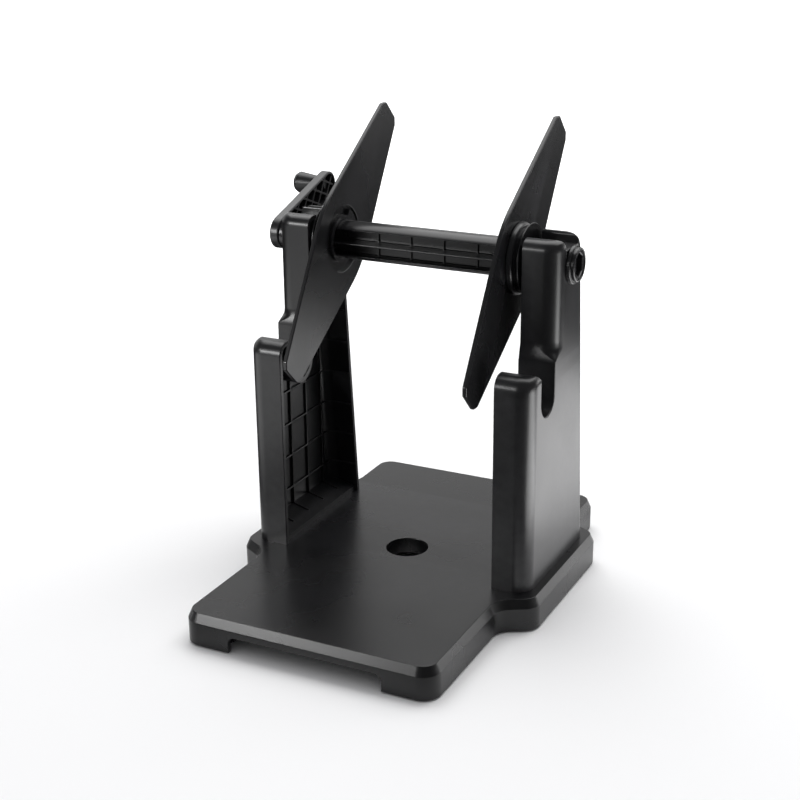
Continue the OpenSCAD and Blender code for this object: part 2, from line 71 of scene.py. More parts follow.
def addCamera():
    look = cameraView
    yaw, pitch, roll = (math.radians(look[key]) for key in ("yaw", "pitch", "roll"))
    back = Vector((math.sin(yaw) * math.cos(pitch), -math.cos(yaw) * math.cos(pitch), math.sin(pitch)))
    levelRight = Vector((math.cos(yaw), math.sin(yaw), 0))
    levelUp = back.cross(levelRight)
    right = levelRight * math.cos(roll) + levelUp * math.sin(roll)
    up = levelUp * math.cos(roll) - levelRight * math.sin(roll)
    lensData = bpy.data.cameras.new("photoCamera")
    lensData.lens = look["lens"]
    lensData.sensor_width = look["sensor"]
    lensData.clip_start = look["near"]
    lensData.clip_end = look["far"]
    camera = linked("photoCamera", lensData)
    turn = Matrix((right, up, back)).transposed().to_4x4()
    camera.matrix_world = Matrix.Translation(Vector(look["place"]) * mm) @ turn
    bpy.context.scene.camera = camera


addCamera()
print("camera set")


# Outlines
def boxMm(node):
    low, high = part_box(node)
    return low / mm, high / mm


def sweep(start, end, steps):  # values from start to end
    return [start + (end - start) * k / steps for k in range(steps + 1)]


def arc(middle, radius, start, end, steps):
    return [(middle[0] + radius * math.cos(t), middle[1] + radius * math.sin(t))
            for t in sweep(start, end, steps)]


def sharp(points):  # points as corners without a fillet
    return [(p[0], p[1], 0) for p in points]


def roundedOutline(corners, steps=bends["dome"]):  # corners are (u, v, radius), in counterclockwise order
    points = []
    for i, (u, v, radius) in enumerate(corners):
        here = Vector((u, v))
        if radius <= 0:
            points.append(here)
            continue
        a = (Vector(corners[i - 1][:2]) - here).normalized()
        b = (Vector(corners[(i + 1) % len(corners)][:2]) - here).normalized()
        half = math.acos(max(-1, min(1, a.dot(b)))) / 2
        centre = here + (a + b).normalized() * radius / math.sin(half)
        start = here + a * radius / math.tan(half) - centre
        end = here + b * radius / math.tan(half) - centre
        first = math.atan2(start.y, start.x)
        turn = (math.atan2(end.y, end.x) - first + 3 * math.pi) % (2 * math.pi) - math.pi
        points += [centre + radius * Vector((math.cos(t), math.sin(t)))
                   for t in sweep(first, first + turn, steps)]
    return points


def offsetLoop(points, d):  # moves a counterclockwise loop outwards by d
    least = 0.4  # keeps a sharp corner from running away
    grown = []
    for i, here in enumerate(points):
        a = (here - points[i - 1]).normalized()
        b = (points[(i + 1) % len(points)] - here).normalized()
        out = Vector((a.y + b.y, -a.x - b.x)).normalized()
        grown.append(here + out * d / max(least, out.dot(Vector((a.y, -a.x)))))
    return grown


def quarter(steps):  # pairs that run along a quarter of a unit circle, from (0, 0) to (1, 1)
    return [(1 - math.cos(t), math.sin(t)) for t in sweep(0, rightAngle, steps)]


# Meshes
creaseAngle = math.radians(32)
softening = {"merge": 0.003, "flat": math.radians(0.4), "least": math.radians(40), "segments": 2,
             "near": 0.01, "slack": 0.1}


def keep(bm, name):  # closes a bmesh into an object
    bmesh.ops.recalc_face_normals(bm, faces=bm.faces)
    mesh = bpy.data.meshes.new(name)
    bm.to_mesh(mesh)
    bm.free()
    return linked(name, mesh)


def loft(rings, name):
    bm = bmesh.new()
    loops = [[bm.verts.new(p) for p in ring] for ring in rings]
    for lower, upper in zip(loops, loops[1:]):
        for i in range(len(lower)):
            j = (i + 1) % len(lower)
            bm.faces.new((lower[i], lower[j], upper[j], upper[i]))
    bm.faces.new(loops[0][::-1])
    bm.faces.new(loops[-1])
    return keep(bm, name)


def loftX(stations, name):  # stations are (x, outline in y and z)
    return loft([[Vector((x, p[0], p[1])) for p in outline] for x, outline in stations], name)


def slab(outline, x0, x1, name):
    return loftX([(x0, outline), (x1, outline)], name)


def plate(outline, x0, x1, edge, name, steps=bends["flare"]):  # a slab with round edges
    stations = [(x0 + edge * a, edge * (b - 1)) for a, b in quarter(steps)]
    stations += [(x1 - edge * a, edge * (b - 1)) for a, b in reversed(quarter(steps))]
    return loftX([(x, offsetLoop(outline, d)) for x, d in stations], name)


def pillar(outline, z0, z1, name):
    return loft([[Vector((p.x, p.y, z)) for p in outline] for z in (z0, z1)], name)


def spin(profile, name, steps=around["plain"]):  # spins (x, radius, fillet) corners about the x axis
    points = roundedOutline(profile, bends["fillet"])
    onAxis, sameSpot = 1e-6, 1e-5
    bm = bmesh.new()
    rings = []
    for k in range(steps):
        turn = 2 * math.pi * k / steps
        rings.append([bm.verts.new((p.x, p.y * math.cos(turn), p.y * math.sin(turn))) for p in points])
    for k in range(steps):
        a, b = rings[k], rings[(k + 1) % steps]
        for i in range(len(points)):
            j = (i + 1) % len(points)
            if points[i].y > onAxis or points[j].y > onAxis:
                bm.faces.new((a[i], a[j], b[j], b[i]))
    bmesh.ops.remove_doubles(bm, verts=bm.verts, dist=sameSpot)
    return keep(bm, name)


def rod(x0, x1, radius, name, edge=0, steps=around["plain"]):  # its edge at x0 can be round
    return spin([(x0, 0, 0), (x1, 0, 0), (x1, radius, 0), (x0, radius, edge)], name, steps)


def tube(radius, bore, x0, x1, name):
    return spin([(x0, bore, 0), (x1, bore, 0), (x1, radius, 0), (x0, radius, 0)], name, around["shaft"])


def blocks(boxes, name):  # several boxes as one mesh, each as low and high corner
    bm = bmesh.new()
    for low, high in boxes:
        size = Vector(high) - Vector(low)
        place = Matrix.Translation((Vector(low) + Vector(high)) / 2) @ Matrix.Diagonal((*size, 1))
        bmesh.ops.create_cube(bm, size=1, matrix=place)
    return keep(bm, name)


def bead(start, end, out, half, deep):  # a straight rib with a crowned top
    start, end, out = Vector(start), Vector(end), Vector(out).normalized()
    across = (end - start).normalized().cross(out)
    crown = math.radians(35)
    crest = [(half * math.sin(t) / math.sin(crown), half - half * (1 - math.cos(t)) / math.sin(crown))
             for t in sweep(crown, -crown, bends["crown"])]
    shape = [(half, -deep)] + crest + [(-half, -deep)]
    return loft([[p + across * u + out * v for u, v in shape] for p in (start, end)], "bead")


def moved(piece, matrix):
    piece.data.transform(matrix)
    if matrix.determinant() < 0:
        piece.data.flip_normals()
    return piece


def shifted(piece, x, y, z):
    return moved(piece, Matrix.Translation((x, y, z)))


def standing(piece, x, y, z=0):  # turns a piece spun about x so that it stands on z
    return moved(piece, Matrix.Translation((x, y, z)) @ Matrix.Rotation(-rightAngle, 4, "Y"))


def copied(piece, name):
    return linked(name, piece.data.copy())


def gathered(pieces):  # several meshes in one object, side by side
    whole = pieces[0]
    bm = bmesh.new()
    for piece in pieces:
        bm.from_mesh(piece.data)
    bm.to_mesh(whole.data)
    bm.free()
    for piece in pieces[1:]:
        bpy.data.objects.remove(piece)
    return whole


def combine(piece, tool, how, crossing):
    change = piece.modifiers.new("change", "BOOLEAN")
    change.object, change.operation, change.solver, change.use_self = tool, how, "EXACT", crossing
    graph = bpy.context.evaluated_depsgraph_get()
    made = bpy.data.meshes.new_from_object(piece.evaluated_get(graph), depsgraph=graph)
    piece.modifiers.clear()
    piece.data = made
    bpy.data.objects.remove(tool)
    return piece


def join(piece, tool, crossing=False):  # crossing: the tool's own parts overlap
    return combine(piece, tool, "UNION", crossing)


def cut(piece, tool, crossing=False):
    return combine(piece, tool, "DIFFERENCE", crossing)


def common(piece, tool, crossing=False):
    return combine(piece, tool, "INTERSECT", crossing)


def soften(piece, width, chosen):  # rounds the sharp edges that chosen accepts
    bm = bmesh.new()
    bm.from_mesh(piece.data)
    bmesh.ops.remove_doubles(bm, verts=bm.verts, dist=softening["merge"])
    bmesh.ops.dissolve_limit(bm, angle_limit=softening["flat"], verts=bm.verts, edges=bm.edges)
    edges = [e for e in bm.edges
             if e.is_manifold and e.calc_face_angle() > softening["least"]
             and chosen(*[v.co for v in e.verts])]
    bmesh.ops.bevel(bm, geom=edges, offset=width, offset_type="OFFSET", segments=softening["segments"],
                    profile=0.5, affect="EDGES", clamp_overlap=False)
    bm.to_mesh(piece.data)
    bm.free()
    return piece


def settle(piece, body, nodes, material):
    mesh = piece.data
    mesh.transform(Matrix.Scale(mm, 4))
    mesh.materials.clear()
    mesh.materials.append(material)
    mesh.shade_smooth()
    mesh.set_sharp_from_angle(angle=creaseAngle)
    even = piece.modifiers.new("evenNormals", "WEIGHTED_NORMAL")
    even.keep_sharp = True
    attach(piece, body)
    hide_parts(*nodes)


# Shader nodes: an input is given a value, or the output of another node
def give(tree, socket, value):
    if isinstance(value, bpy.types.NodeSocket):
        tree.links.new(value, socket)
    else:
        socket.default_value = value


def addNode(tree, kind, inputs, **settings):
    node = tree.nodes.new("ShaderNode" + kind)
    for label, value in settings.items():
        setattr(node, label, value)
    for label, value in inputs.items():
        give(tree, node.inputs[label], value)
    return node


def maths(tree, how, a, b):
    return addNode(tree, "Math", {0: a, 1: b}, operation=how).outputs[0]


def vectorMaths(tree, how, a, b, output="Vector"):
    return addNode(tree, "VectorMath", {0: a, 1: b}, operation=how).outputs[output]


def ranged(tree, source, start, end, low, high, how="LINEAR"):
    return addNode(tree, "MapRange", {"Value": source, "From Min": start, "From Max": end,
                                      "To Min": low, "To Max": high},
                   interpolation_type=how).outputs["Result"]


def mixed(tree, mask, first, second):
    first, second = [(*tone, 1) if isinstance(tone, tuple) else tone for tone in (first, second)]
    return addNode(tree, "Mix", {"Factor": mask, "A": first, "B": second},
                   data_type="RGBA").outputs["Result"]


def noise(tree, place, scale, detail, rough):
    return addNode(tree, "TexNoise", {"Vector": place, "Scale": scale, "Detail": detail,
                                      "Roughness": rough}).outputs["Fac"]


def newGroup(name, inputs, outputs):
    group = bpy.data.node_groups.new(name, "ShaderNodeTree")
    for label, value in inputs:
        socket = group.interface.new_socket(label, in_out="INPUT", socket_type="NodeSocketFloat")
        socket.default_value = value
    for label in outputs:
        group.interface.new_socket(label, in_out="OUTPUT", socket_type="NodeSocketFloat")
    return group, group.nodes.new("NodeGroupInput").outputs, group.nodes.new("NodeGroupOutput").inputs


def makeMouldGrain():
    # Fine spark-eroded grain of moulded plastic, as a height, with a soft cloud mask and a speck mask
    group, inside, outside = newGroup(
        "mouldGrain", [("Grain Scale", 2600.0), ("Cloud Scale", 22.0)], ["Height", "Cloud", "Speck"])
    place = group.nodes.new("ShaderNodeTexCoord").outputs["Object"]
    grain = noise(group, place, inside["Grain Scale"], 2.0, 0.6)
    cloud = noise(group, place, inside["Cloud Scale"], 3.0, 0.45)
    speck = addNode(group, "TexVoronoi", {"Vector": place, "Scale": inside["Grain Scale"]})
    give(group, outside["Height"], grain)
    give(group, outside["Cloud"], ranged(group, cloud, 0.3, 0.7, 0, 1))
    give(group, outside["Speck"], ranged(group, speck.outputs["Distance"], 0, 0.5, 1, 0))
    return group


def makeEdgeRub():
    # Mask of the painted highlight on convex corners and edges, from the shape's own pointiness
    group, inside, outside = newGroup("edgeRub", [("Breakup Scale", 180.0), ("Reach", 0.06)], ["Rub"])
    place = group.nodes.new("ShaderNodeTexCoord").outputs["Object"]
    pointed = group.nodes.new("ShaderNodeNewGeometry").outputs["Pointiness"]
    rise = maths(group, "SUBTRACT", pointed, 0.5)
    share = addNode(group, "Math", {0: rise, 1: inside["Reach"]}, operation="DIVIDE", use_clamp=True)
    breakup = noise(group, place, inside["Breakup Scale"], 4.0, 0.6)
    give(group, outside["Rub"], maths(group, "MULTIPLY", share.outputs[0], breakup))
    return group


mouldGrain = makeMouldGrain()
edgeRub = makeEdgeRub()
grainDepth = 0.05 * mm


def newMaterial(name):
    material = bpy.data.materials.new(name)
    material.use_nodes = True
    return material, material.node_tree, material.node_tree.nodes["Principled BSDF"].inputs


def mouldedPlastic(name, look):
    material, tree, shader = newMaterial(name)
    grain = addNode(tree, "Group", {"Grain Scale": look["grainScale"]}, node_tree=mouldGrain)
    highlightMask = addNode(tree, "Group", {}, node_tree=edgeRub).outputs["Rub"]
    tone = mixed(tree, grain.outputs["Cloud"], look["dark"], look["light"])
    # painted highlight: convex edges take the finish's lighter edge tone
    give(tree, shader["Base Color"], mixed(tree, highlightMask, tone, look["edgeHighlightTone"]))
    give(tree, shader["Roughness"], ranged(tree, grain.outputs["Cloud"], 0, 1,
                                           look["roughness"] - look["spread"],
                                           look["roughness"] + look["spread"]))
    give(tree, shader["IOR"], look["ior"])
    bump = addNode(tree, "Bump", {"Strength": look["grain"], "Distance": grainDepth,
                                  "Height": grain.outputs["Height"]})
    give(tree, shader["Normal"], bump.outputs["Normal"])
    return material


def turnedSteel(name, look):
    material, tree, shader = newMaterial(name)
    grain = addNode(tree, "Group", {"Grain Scale": look["grainScale"]}, node_tree=mouldGrain)
    give(tree, shader["Base Color"], mixed(tree, grain.outputs["Cloud"], look["dark"], look["light"]))
    give(tree, shader["Roughness"], ranged(tree, grain.outputs["Speck"], 0, 1, look["roughness"],
                                           look["roughness"] + look["spread"]))
    give(tree, shader["Metallic"], 1.0)
    return material


# Finishes: what a user would change
# each finish's third tone is a painted highlight for the convex edges
finishes = {
    "base": {"dark": (0.003, 0.003, 0.0034), "light": (0.0045, 0.0045, 0.005),
             "edgeHighlightTone": (0.02, 0.02, 0.022), "roughness": 0.28, "spread": 0.03, "ior": 1.5,
             "grain": 0.2, "grainScale": 2400},
    "upright": {"dark": (0.005, 0.005, 0.0055), "light": (0.0075, 0.0075, 0.0083),
                "edgeHighlightTone": (0.03, 0.03, 0.032), "roughness": 0.31, "spread": 0.03, "ior": 1.5,
                "grain": 0.18, "grainScale": 2400},
    "shaft": {"dark": (0.004, 0.004, 0.0045), "light": (0.006, 0.006, 0.0066),
              "edgeHighlightTone": (0.025, 0.025, 0.027), "roughness": 0.26, "spread": 0.03, "ior": 1.5,
              "grain": 0.1, "grainScale": 2800},
    "baffle": {"dark": (0.0045, 0.0045, 0.005), "light": (0.0065, 0.0065, 0.0072),
               "edgeHighlightTone": (0.03, 0.03, 0.032), "roughness": 0.27, "spread": 0.03, "ior": 1.5,
               "grain": 0.15, "grainScale": 2600},
    "ring": {"dark": (0.004, 0.004, 0.0045), "light": (0.006, 0.006, 0.0066),
             "edgeHighlightTone": (0.02, 0.02, 0.022), "roughness": 0.26, "spread": 0.02, "ior": 1.5,
             "grain": 0.06, "grainScale": 2800},
    "bush": {"dark": (0.0045, 0.0045, 0.005), "light": (0.0065, 0.0065, 0.0072),
             "edgeHighlightTone": (0.03, 0.03, 0.032), "roughness": 0.26, "spread": 0.02, "ior": 1.5,
             "grain": 0.08, "grainScale": 2800},
    "crank": {"dark": (0.006, 0.006, 0.0066), "light": (0.009, 0.009, 0.0098),
              "edgeHighlightTone": (0.035, 0.035, 0.037), "roughness": 0.34, "spread": 0.03, "ior": 1.5,
              "grain": 0.15, "grainScale": 2600},
    "foot": {"dark": (0.010, 0.010, 0.010), "light": (0.016, 0.016, 0.016),
             "edgeHighlightTone": (0.02, 0.02, 0.02), "roughness": 0.75, "spread": 0.05, "ior": 1.45,
             "grain": 0.4, "grainScale": 1800},
}
steels = {
    "bright": {"dark": (0.42, 0.42, 0.44), "light": (0.52, 0.52, 0.55), "roughness": 0.28,
               "spread": 0.12, "grainScale": 900},
    "black": {"dark": (0.02, 0.02, 0.022), "light": (0.035, 0.035, 0.038), "roughness": 0.36,
              "spread": 0.12, "grainScale": 900},
}
plastics = {name: mouldedPlastic(name + "Plastic", look) for name, look in finishes.items()}
steel = turnedSteel("screwSteel", steels["bright"])
blackSteel = turnedSteel("pinSteel", steels["black"])
print("materials made")


# Places that several pieces share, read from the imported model
uprightLow, uprightHigh = boxMm("right_upright")
bushLow, bushHigh = boxMm("right_end_bush")
baseLow, baseHigh = boxMm("base")
innerX, outerX = round(uprightLow.x, 2), round(uprightHigh.x, 2)
frontY, uprightTop = round(uprightLow.y, 2), round(uprightHigh.z, 2)
deckZ = round(baseHigh.z, 2)
axleY = round((bushLow.y + bushHigh.y) / 2, 2)
axleZ = round(bushLow.z + (bushHigh.y - bushLow.y) / 2, 2)
shaftEnd = boxMm("roller_shaft")[1].x
toAxle = Matrix.Translation((0, axleY, axleZ))
otherSide = Matrix.Diagonal((-1, 1, 1, 1))


# Base plate
base = {
    "width": 144.4, "length": 232.4, "skirt": 2.8, "deck": 3.0,
    "cornerRadius": 10.0, "earBlend": 11.0, "earCorner": 9.5, "earSlant": math.radians(29),
    "earLead": 2.9, "earTrail": 2.4, "uprightDepth": 88.2, "chamferIn": 2.2, "chamferDown": 4.9,
    "upperEdge": 0.45, "lowerEdge": 0.7, "foot": 0.5, "flatShare": 3,
    "holeRadius": 11.8, "holeBack": 3.1, "holeRim": 0.55, "collar": 2.5, "innerEdge": 0.4,
    "ribShares": (-0.32, 0.32), "rowShares": (-0.33, -0.15, 0.17, 0.34), "ribThick": 1.8, "ribDrop": 6.0,
    "notchWide": 88.0, "notchHigh": 9.1, "notchRadius": 4.0, "notchEdge": 0.4,
    "footInset": 15.0, "footRadius": 8.0, "footThick": 3.0, "footGap": 0.15, "footWall": 2.0,
    "screwHole": 2.3, "screwIn": 13.5, "screwBacks": (14, 66),  # behind an upright's front face
}
underDeck = deckZ - base["deck"]
screwPlaces = [(side * (innerX + base["screwIn"]), frontY + back)
               for side in (-1, 1) for back in base["screwBacks"]]
footX, footY = base["width"] / 2 - base["footInset"], base["length"] / 2 - base["footInset"]
footPlaces = [(x, y) for x in (-footX, footX) for y in (-footY, footY)]


def baseOutline():
    wide, long = base["width"] / 2, base["length"] / 2
    ear = baseHigh.x
    run = (ear - wide) * math.tan(base["earSlant"])
    earFront = frontY - base["earLead"]
    earBack = frontY + base["uprightDepth"] + base["earTrail"]
    right = [(wide, -long, base["cornerRadius"]), (wide, earFront - run, base["earBlend"]),
             (ear, earFront, base["earCorner"]), (ear, earBack, base["earCorner"]),
             (wide, earBack + run, base["earBlend"]), (wide, long, base["cornerRadius"])]
    return roundedOutline(right + [(-x, y, r) for x, y, r in reversed(right)], bends["ear"])


def makeShell():  # the plate's outside with its chamfer, hollow from below, with notches in front and behind
    b = base
    outline = baseOutline()
    edge = roundedOutline([(-b["flatShare"] * b["foot"], baseLow.z, 0), (0, baseLow.z, b["foot"]),
                           (0, deckZ - b["chamferDown"], b["lowerEdge"]),
                           (-b["chamferIn"], deckZ, b["upperEdge"]),
                           (-b["flatShare"] * b["chamferIn"], deckZ, 0)], bends["crown"])
    shell = loft([[Vector((p.x, p.y, e.y)) for p in offsetLoop(outline, e.x)] for e in edge], "base")
    cut(shell, pillar(offsetLoop(outline, -b["skirt"]), -over, underDeck, "hollow"))
    half, top = b["notchWide"] / 2, baseLow.z + b["notchHigh"]
    arch = roundedOutline([(-half, -over, 0), (half, -over, 0), (half, top, b["notchRadius"]),
                           (-half, top, b["notchRadius"])])
    return cut(shell, loft([[Vector((p.x, y, p.y)) for p in arch] for y in (b["length"], -b["length"])],
                           "notch"))


def underRibs(low):
    b = base
    wide, long = b["width"] / 2 - b["skirt"] + bite, b["length"] / 2 - b["skirt"] + bite
    t, top = b["ribThick"] / 2, underDeck + bite
    ribs = [((s * b["width"] - t, -long, low), (s * b["width"] + t, long, top)) for s in b["ribShares"]]
    ribs += [((-wide, s * b["length"] - t, low), (wide, s * b["length"] + t, top))
             for s in b["rowShares"]]
    return blocks(ribs, "ribs")


def makeBase():
    b = base
    shell = makeShell()
    low = underDeck - b["ribDrop"]
    join(shell, underRibs(low), True)
    collar = rod(low, underDeck + bite, b["holeRadius"] + b["collar"], "collar", b["innerEdge"])
    join(shell, standing(collar, 0, b["holeBack"]))
    rim, bottom = b["holeRadius"] + b["holeRim"], low - 2 * over
    hole = [(bottom, 0), (deckZ + over, 0), (deckZ + over, rim)]
    hole += arc((deckZ - b["holeRim"], rim), b["holeRim"], 0, -rightAngle, bends["fillet"])
    cut(shell, standing(spin(sharp(hole + [(bottom, b["holeRadius"])]), "hole"), 0, b["holeBack"]))
    inside = b["footRadius"] + b["footGap"]
    for x, y in footPlaces:
        socket = rod(baseLow.z, underDeck + bite, inside + b["footWall"], "socket", b["innerEdge"])
        join(shell, standing(socket, x, y))
        cut(shell, standing(rod(-over, b["footThick"], inside, "seat"), x, y))
    for x, y in screwPlaces:
        hole = rod(underDeck - over, deckZ + over, b["screwHole"], "screwHole", 0, around["hole"])
        cut(shell, standing(hole, x, y))

    def onNotch(p, q):  # on the front or back face, round a notch
        return all(0 < v.z < baseLow.z + b["notchHigh"] + softening["slack"]
                   and abs(abs(v.y) - b["length"] / 2) < softening["near"] for v in (p, q))

    soften(shell, b["notchEdge"], onNotch)
    settle(shell, "root", ["base"], plastics["base"])


makeBase()
print("base made")


# Uprights: drawn with x from the open side, y from the front face and z from the top of the base
upright = {
    "width": round(outerX - innerX, 2), "depth": 88.2, "lean": 15.8, "height": round(uprightTop - deckZ, 2),
    "postHeight": 118.4, "wall": 2.5, "edge": 9.0, "brow": 4.5,
    "columnRoll": 5.5, "postRoll": 7.0, "backRoll": 10.0,
    "columnFront": 33.0, "columnStep": 1.8, "stepHeight": 10.0, "fadeHeight": 6.5, "sharp": 0.5,
    "slotBack": 23.6, "slotRise": 102.2, "slotRadius": 9.4, "slotAbove": 20.0, "slotEdge": 0.7,
    "mouth": 4.5, "lip": 2.0,
    "webRound": 0.48, "webOut": 1.4, "webLow": 0.3, "webStepY": 17.7, "webFirstY": 20.5,
    "webStepZ": 19.9, "webFirstZ": 18.4, "tickLong": 3.0, "tickIn": 1.2, "tickOut": 1.0,
    "floorIn": 2.0, "floorLow": 3.2, "floorHigh": 8.2, "floorRib": 0.9, "floorRibLong": 11.0,
    "screwIn": 13.5, "screwHole": 2.05, "screwDeep": 5.6, "rimEdge": 0.45, "overlap": 0.5,
}
axleBack, axleRise = axleY - frontY, axleZ - deckZ


def rolled(radius, depth):  # how far a roll draws a face in at a depth below its top
    return 0 if depth >= radius else radius - math.sqrt(radius ** 2 - (radius - depth) ** 2)


def eased(share):
    t = min(1, max(0, share))
    return t * t * (3 - 2 * t)


def rolledBlock(y0, top, side, out, frontRoll, fade, name):
    u = upright
    steps, e = bends["roll"], u["rimEdge"]
    rim, corner = quarter(bends["rim"]), quarter(bends["corner"])
    lean = u["lean"] / u["height"]
    start = -over if side > 0 else 0
    rolls = [max(r - side, u["sharp"]) for r in (frontRoll, u["brow"], u["backRoll"])]
    tallest = max(rolls)
    rises = [start]
    if fade:
        rises += [u["postHeight"] - over]
        rises += sweep(u["postHeight"], u["postHeight"] + u["stepHeight"], steps)
    rises += [top - tallest + tallest * b for a, b in quarter(steps)]
    rings = []
    for z in rises:
        above = z - u["postHeight"]
        front = y0 + side + rolled(rolls[0], top - z)
        front += u["columnStep"] * eased(above / u["stepHeight"]) if fade else 0
        inset = rolled(rolls[1], top - z)
        back = u["depth"] - side - lean * z - rolled(rolls[2], top - z)
        w = u["width"] - out - inset
        grown = eased(above / u["fadeHeight"]) if fade and side == 0 else 1
        near = max((u["edge"] - side) * grown - inset, u["sharp"])
        far = max(u["edge"] - side - inset, u["sharp"])
        ring, end = [(start, front)], [(start, back)]
        if side == 0:
            ring = [(e * a, front + e * (1 - b)) for a, b in rim]
            end = [(e * (1 - b), back - e * a) for a, b in rim]
        ring += [(w - near * (1 - b), front + near * a) for a, b in corner]
        ring += [(w - far * a, back - far * (1 - b)) for a, b in corner]
        rings.append([Vector((x, y, z)) for x, y in ring + end])
    return loft(rings, name)


def uprightForm(side, out, name):
    u = upright
    post = rolledBlock(0, u["postHeight"] - side, side, out, u["postRoll"], False, name)
    column = rolledBlock(u["columnFront"], u["height"] - side, side, out, u["columnRoll"], True, "column")
    return join(post, column)


def slotTool(middle, rise, top, radius, name, x0=0.0, flare=0.0):  # a U-shaped space, open at its top
    points = arc((middle, rise), radius, math.pi, 2 * math.pi, bends["slot"])
    points += [(middle + side * radius, top + upright["slotAbove"]) for side in (1, -1)]
    outline = [Vector(p) for p in points]
    wide = upright["width"]
    stations = [(x0, 0), (wide - flare, 0)]
    stations += [(wide - flare + flare * b, flare * a) for a, b in quarter(bends["flare"])[1:] if flare]
    stations += [(wide + over, flare)]
    return loftX([(x, offsetLoop(outline, d)) for x, d in stations], name)


def leadIn(y, z, radius, turn, name):  # what a rounded mouth takes away on one side of a slot
    corner = [(over, -radius), (over, over), (-radius, over)]
    corner += arc((-radius, -radius), radius, rightAngle, 0, bends["corner"])
    outline = [Vector((y + turn * a, z + b)) for a, b in corner]
    return slab(outline if turn > 0 else outline[::-1], -over, upright["width"] + over, name)


def latticeBeads(heights, backs):  # thin ribs on the inside of the outer wall
    u = upright
    top = u["width"] - u["wall"] - u["webOut"] + u["webRound"]
    lines = []
    for z in heights:
        front = 0 if z < u["postHeight"] - u["postRoll"] - u["webRound"] else u["columnFront"]
        lines.append(((top, front, z), (top, u["depth"], z)))
    lines += [((top, y, 0), (top, y, u["height"])) for y in backs]
    return gathered([bead(start, end, (-1, 0, 0), u["webRound"], u["wall"] + over) for start, end in lines])


def lowRibs(heights):  # ribs that barely stand out on the front and back walls
    u = upright
    slabs = [((bite, 0, z - u["webRound"]), (u["width"], u["depth"], z + u["webRound"])) for z in heights]
    ribs = common(blocks(slabs, "lowRibs"), uprightForm(u["wall"] - u["overlap"], u["wall"], "trim"))
    inset = u["wall"] + u["webLow"]
    return cut(ribs, uprightForm(inset, inset, "clear"))


def rimTicks(heights):  # where those ribs show at the open rim of the back wall
    u = upright
    lean = u["lean"] / u["height"]
    ticks = []
    for z in heights:
        y = u["depth"] - lean * z - u["wall"] - u["tickOut"] + u["webRound"]
        ticks.append(bead((u["tickIn"], y, z), (u["tickIn"] + u["tickLong"], y, z), (0, -1, 0),
                          u["webRound"], u["tickOut"] + over))
    return gathered(ticks)


def slopingFloor(backs):  # the floor of the hollow and its ribs, each trimmed to the hollow
    u = upright
    wide, deep = u["width"], u["depth"]
    outline = [Vector((u["floorIn"], 0)), Vector((wide, 0)), Vector((wide, u["floorHigh"])),
               Vector((u["floorIn"], u["floorLow"]))]
    ground = loft([[Vector((p.x, y, p.y)) for p in outline] for y in (deep, 0)], "ground")
    slope = (u["floorHigh"] - u["floorLow"]) / (wide - u["floorIn"])
    out = Vector((-slope, 0, 1)).normalized()
    lift = out * (u["floorRib"] - u["webRound"])
    beads = []
    for y in backs:
        start, end = [Vector((x, y, u["floorLow"] + slope * (x - u["floorIn"])))
                      for x in (wide - u["wall"] - u["floorRibLong"], wide)]
        beads.append(bead(start + lift, end + lift, out, u["webRound"], over))
    inset = u["wall"] - u["overlap"]
    return [common(piece, uprightForm(inset, inset, "trim")) for piece in (ground, gathered(beads))]


def rows(first, step, end):  # evenly spaced places below an end
    return [first + k * step for k in range(math.ceil((end - first) / step))]


def makeUpright():
    u = upright
    tall, radius = u["height"], u["slotRadius"]
    slot = (u["slotBack"], u["slotRise"], u["postHeight"])
    saddle = (axleBack, axleRise, tall)
    inset = u["wall"] - u["overlap"]
    body = uprightForm(0, 0, "uprightBody")
    walls = slotTool(*slot, radius + u["wall"], "walls")
    join(walls, slotTool(*saddle, radius + u["wall"], "saddleWall"))
    common(walls, copied(body, "trim"))
    common(walls, uprightForm(inset, inset, "trim"))
    cut(body, uprightForm(u["wall"], u["wall"], "hollow"))
    heights = rows(u["webFirstZ"], u["webStepZ"], tall - u["backRoll"] - u["webRound"])
    backs = rows(u["webFirstY"], u["webStepY"], u["depth"] - u["wall"])
    lattice = common(latticeBeads(heights, backs), uprightForm(inset, inset, "trim"), True)
    for piece in (walls, lowRibs(heights), rimTicks(heights), lattice):
        join(body, piece)
    cut(body, slotTool(*slot, radius, "slot", -over, u["slotEdge"]))
    cut(body, slotTool(*saddle, radius, "saddle", -over, u["slotEdge"]))
    cut(body, leadIn(slot[0] - radius, slot[2], u["mouth"], 1, "mouth"))
    for turn in (1, -1):
        cut(body, leadIn(axleBack - turn * radius, tall, u["lip"], turn, "lip"))
    for piece in slopingFloor(backs):
        join(body, piece)
    for back in base["screwBacks"]:
        hole = rod(-over, u["screwDeep"], u["screwHole"], "pilot", 0, around["pilot"])
        cut(body, standing(hole, u["screwIn"], back))
    return body


def placeUprights():
    body = makeUpright()
    place = Matrix.Translation((innerX, frontY, deckZ))
    mirrored = moved(copied(body, "left_upright_shell"), otherSide @ place)
    body.name = "right_upright_shell"
    moved(body, place)
    settle(mirrored, "root", ["left_upright"], plastics["upright"])
    settle(body, "root", ["right_upright"], plastics["upright"])


placeUprights()
print("uprights made")


# End bushes: a block with a round foot in the saddle, a flange and a nose outside
bush = {
    "radius": 9.1, "flangeRadius": 10.3, "flangeAt": 0.3, "flangeThick": 2.0, "nose": 2.1,
    "edge": 0.55, "noseEdge": 0.7, "noseRoot": 0.25, "bore": 8.05, "blockEdge": 0.5, "topEdge": 0.6,
    "neckIn": 2.0, "neckDown": 0.6,  # the nose is joined to the block by a neck inside it
}
bushEnd = outerX + bush["flangeAt"] + bush["flangeThick"] + bush["nose"]


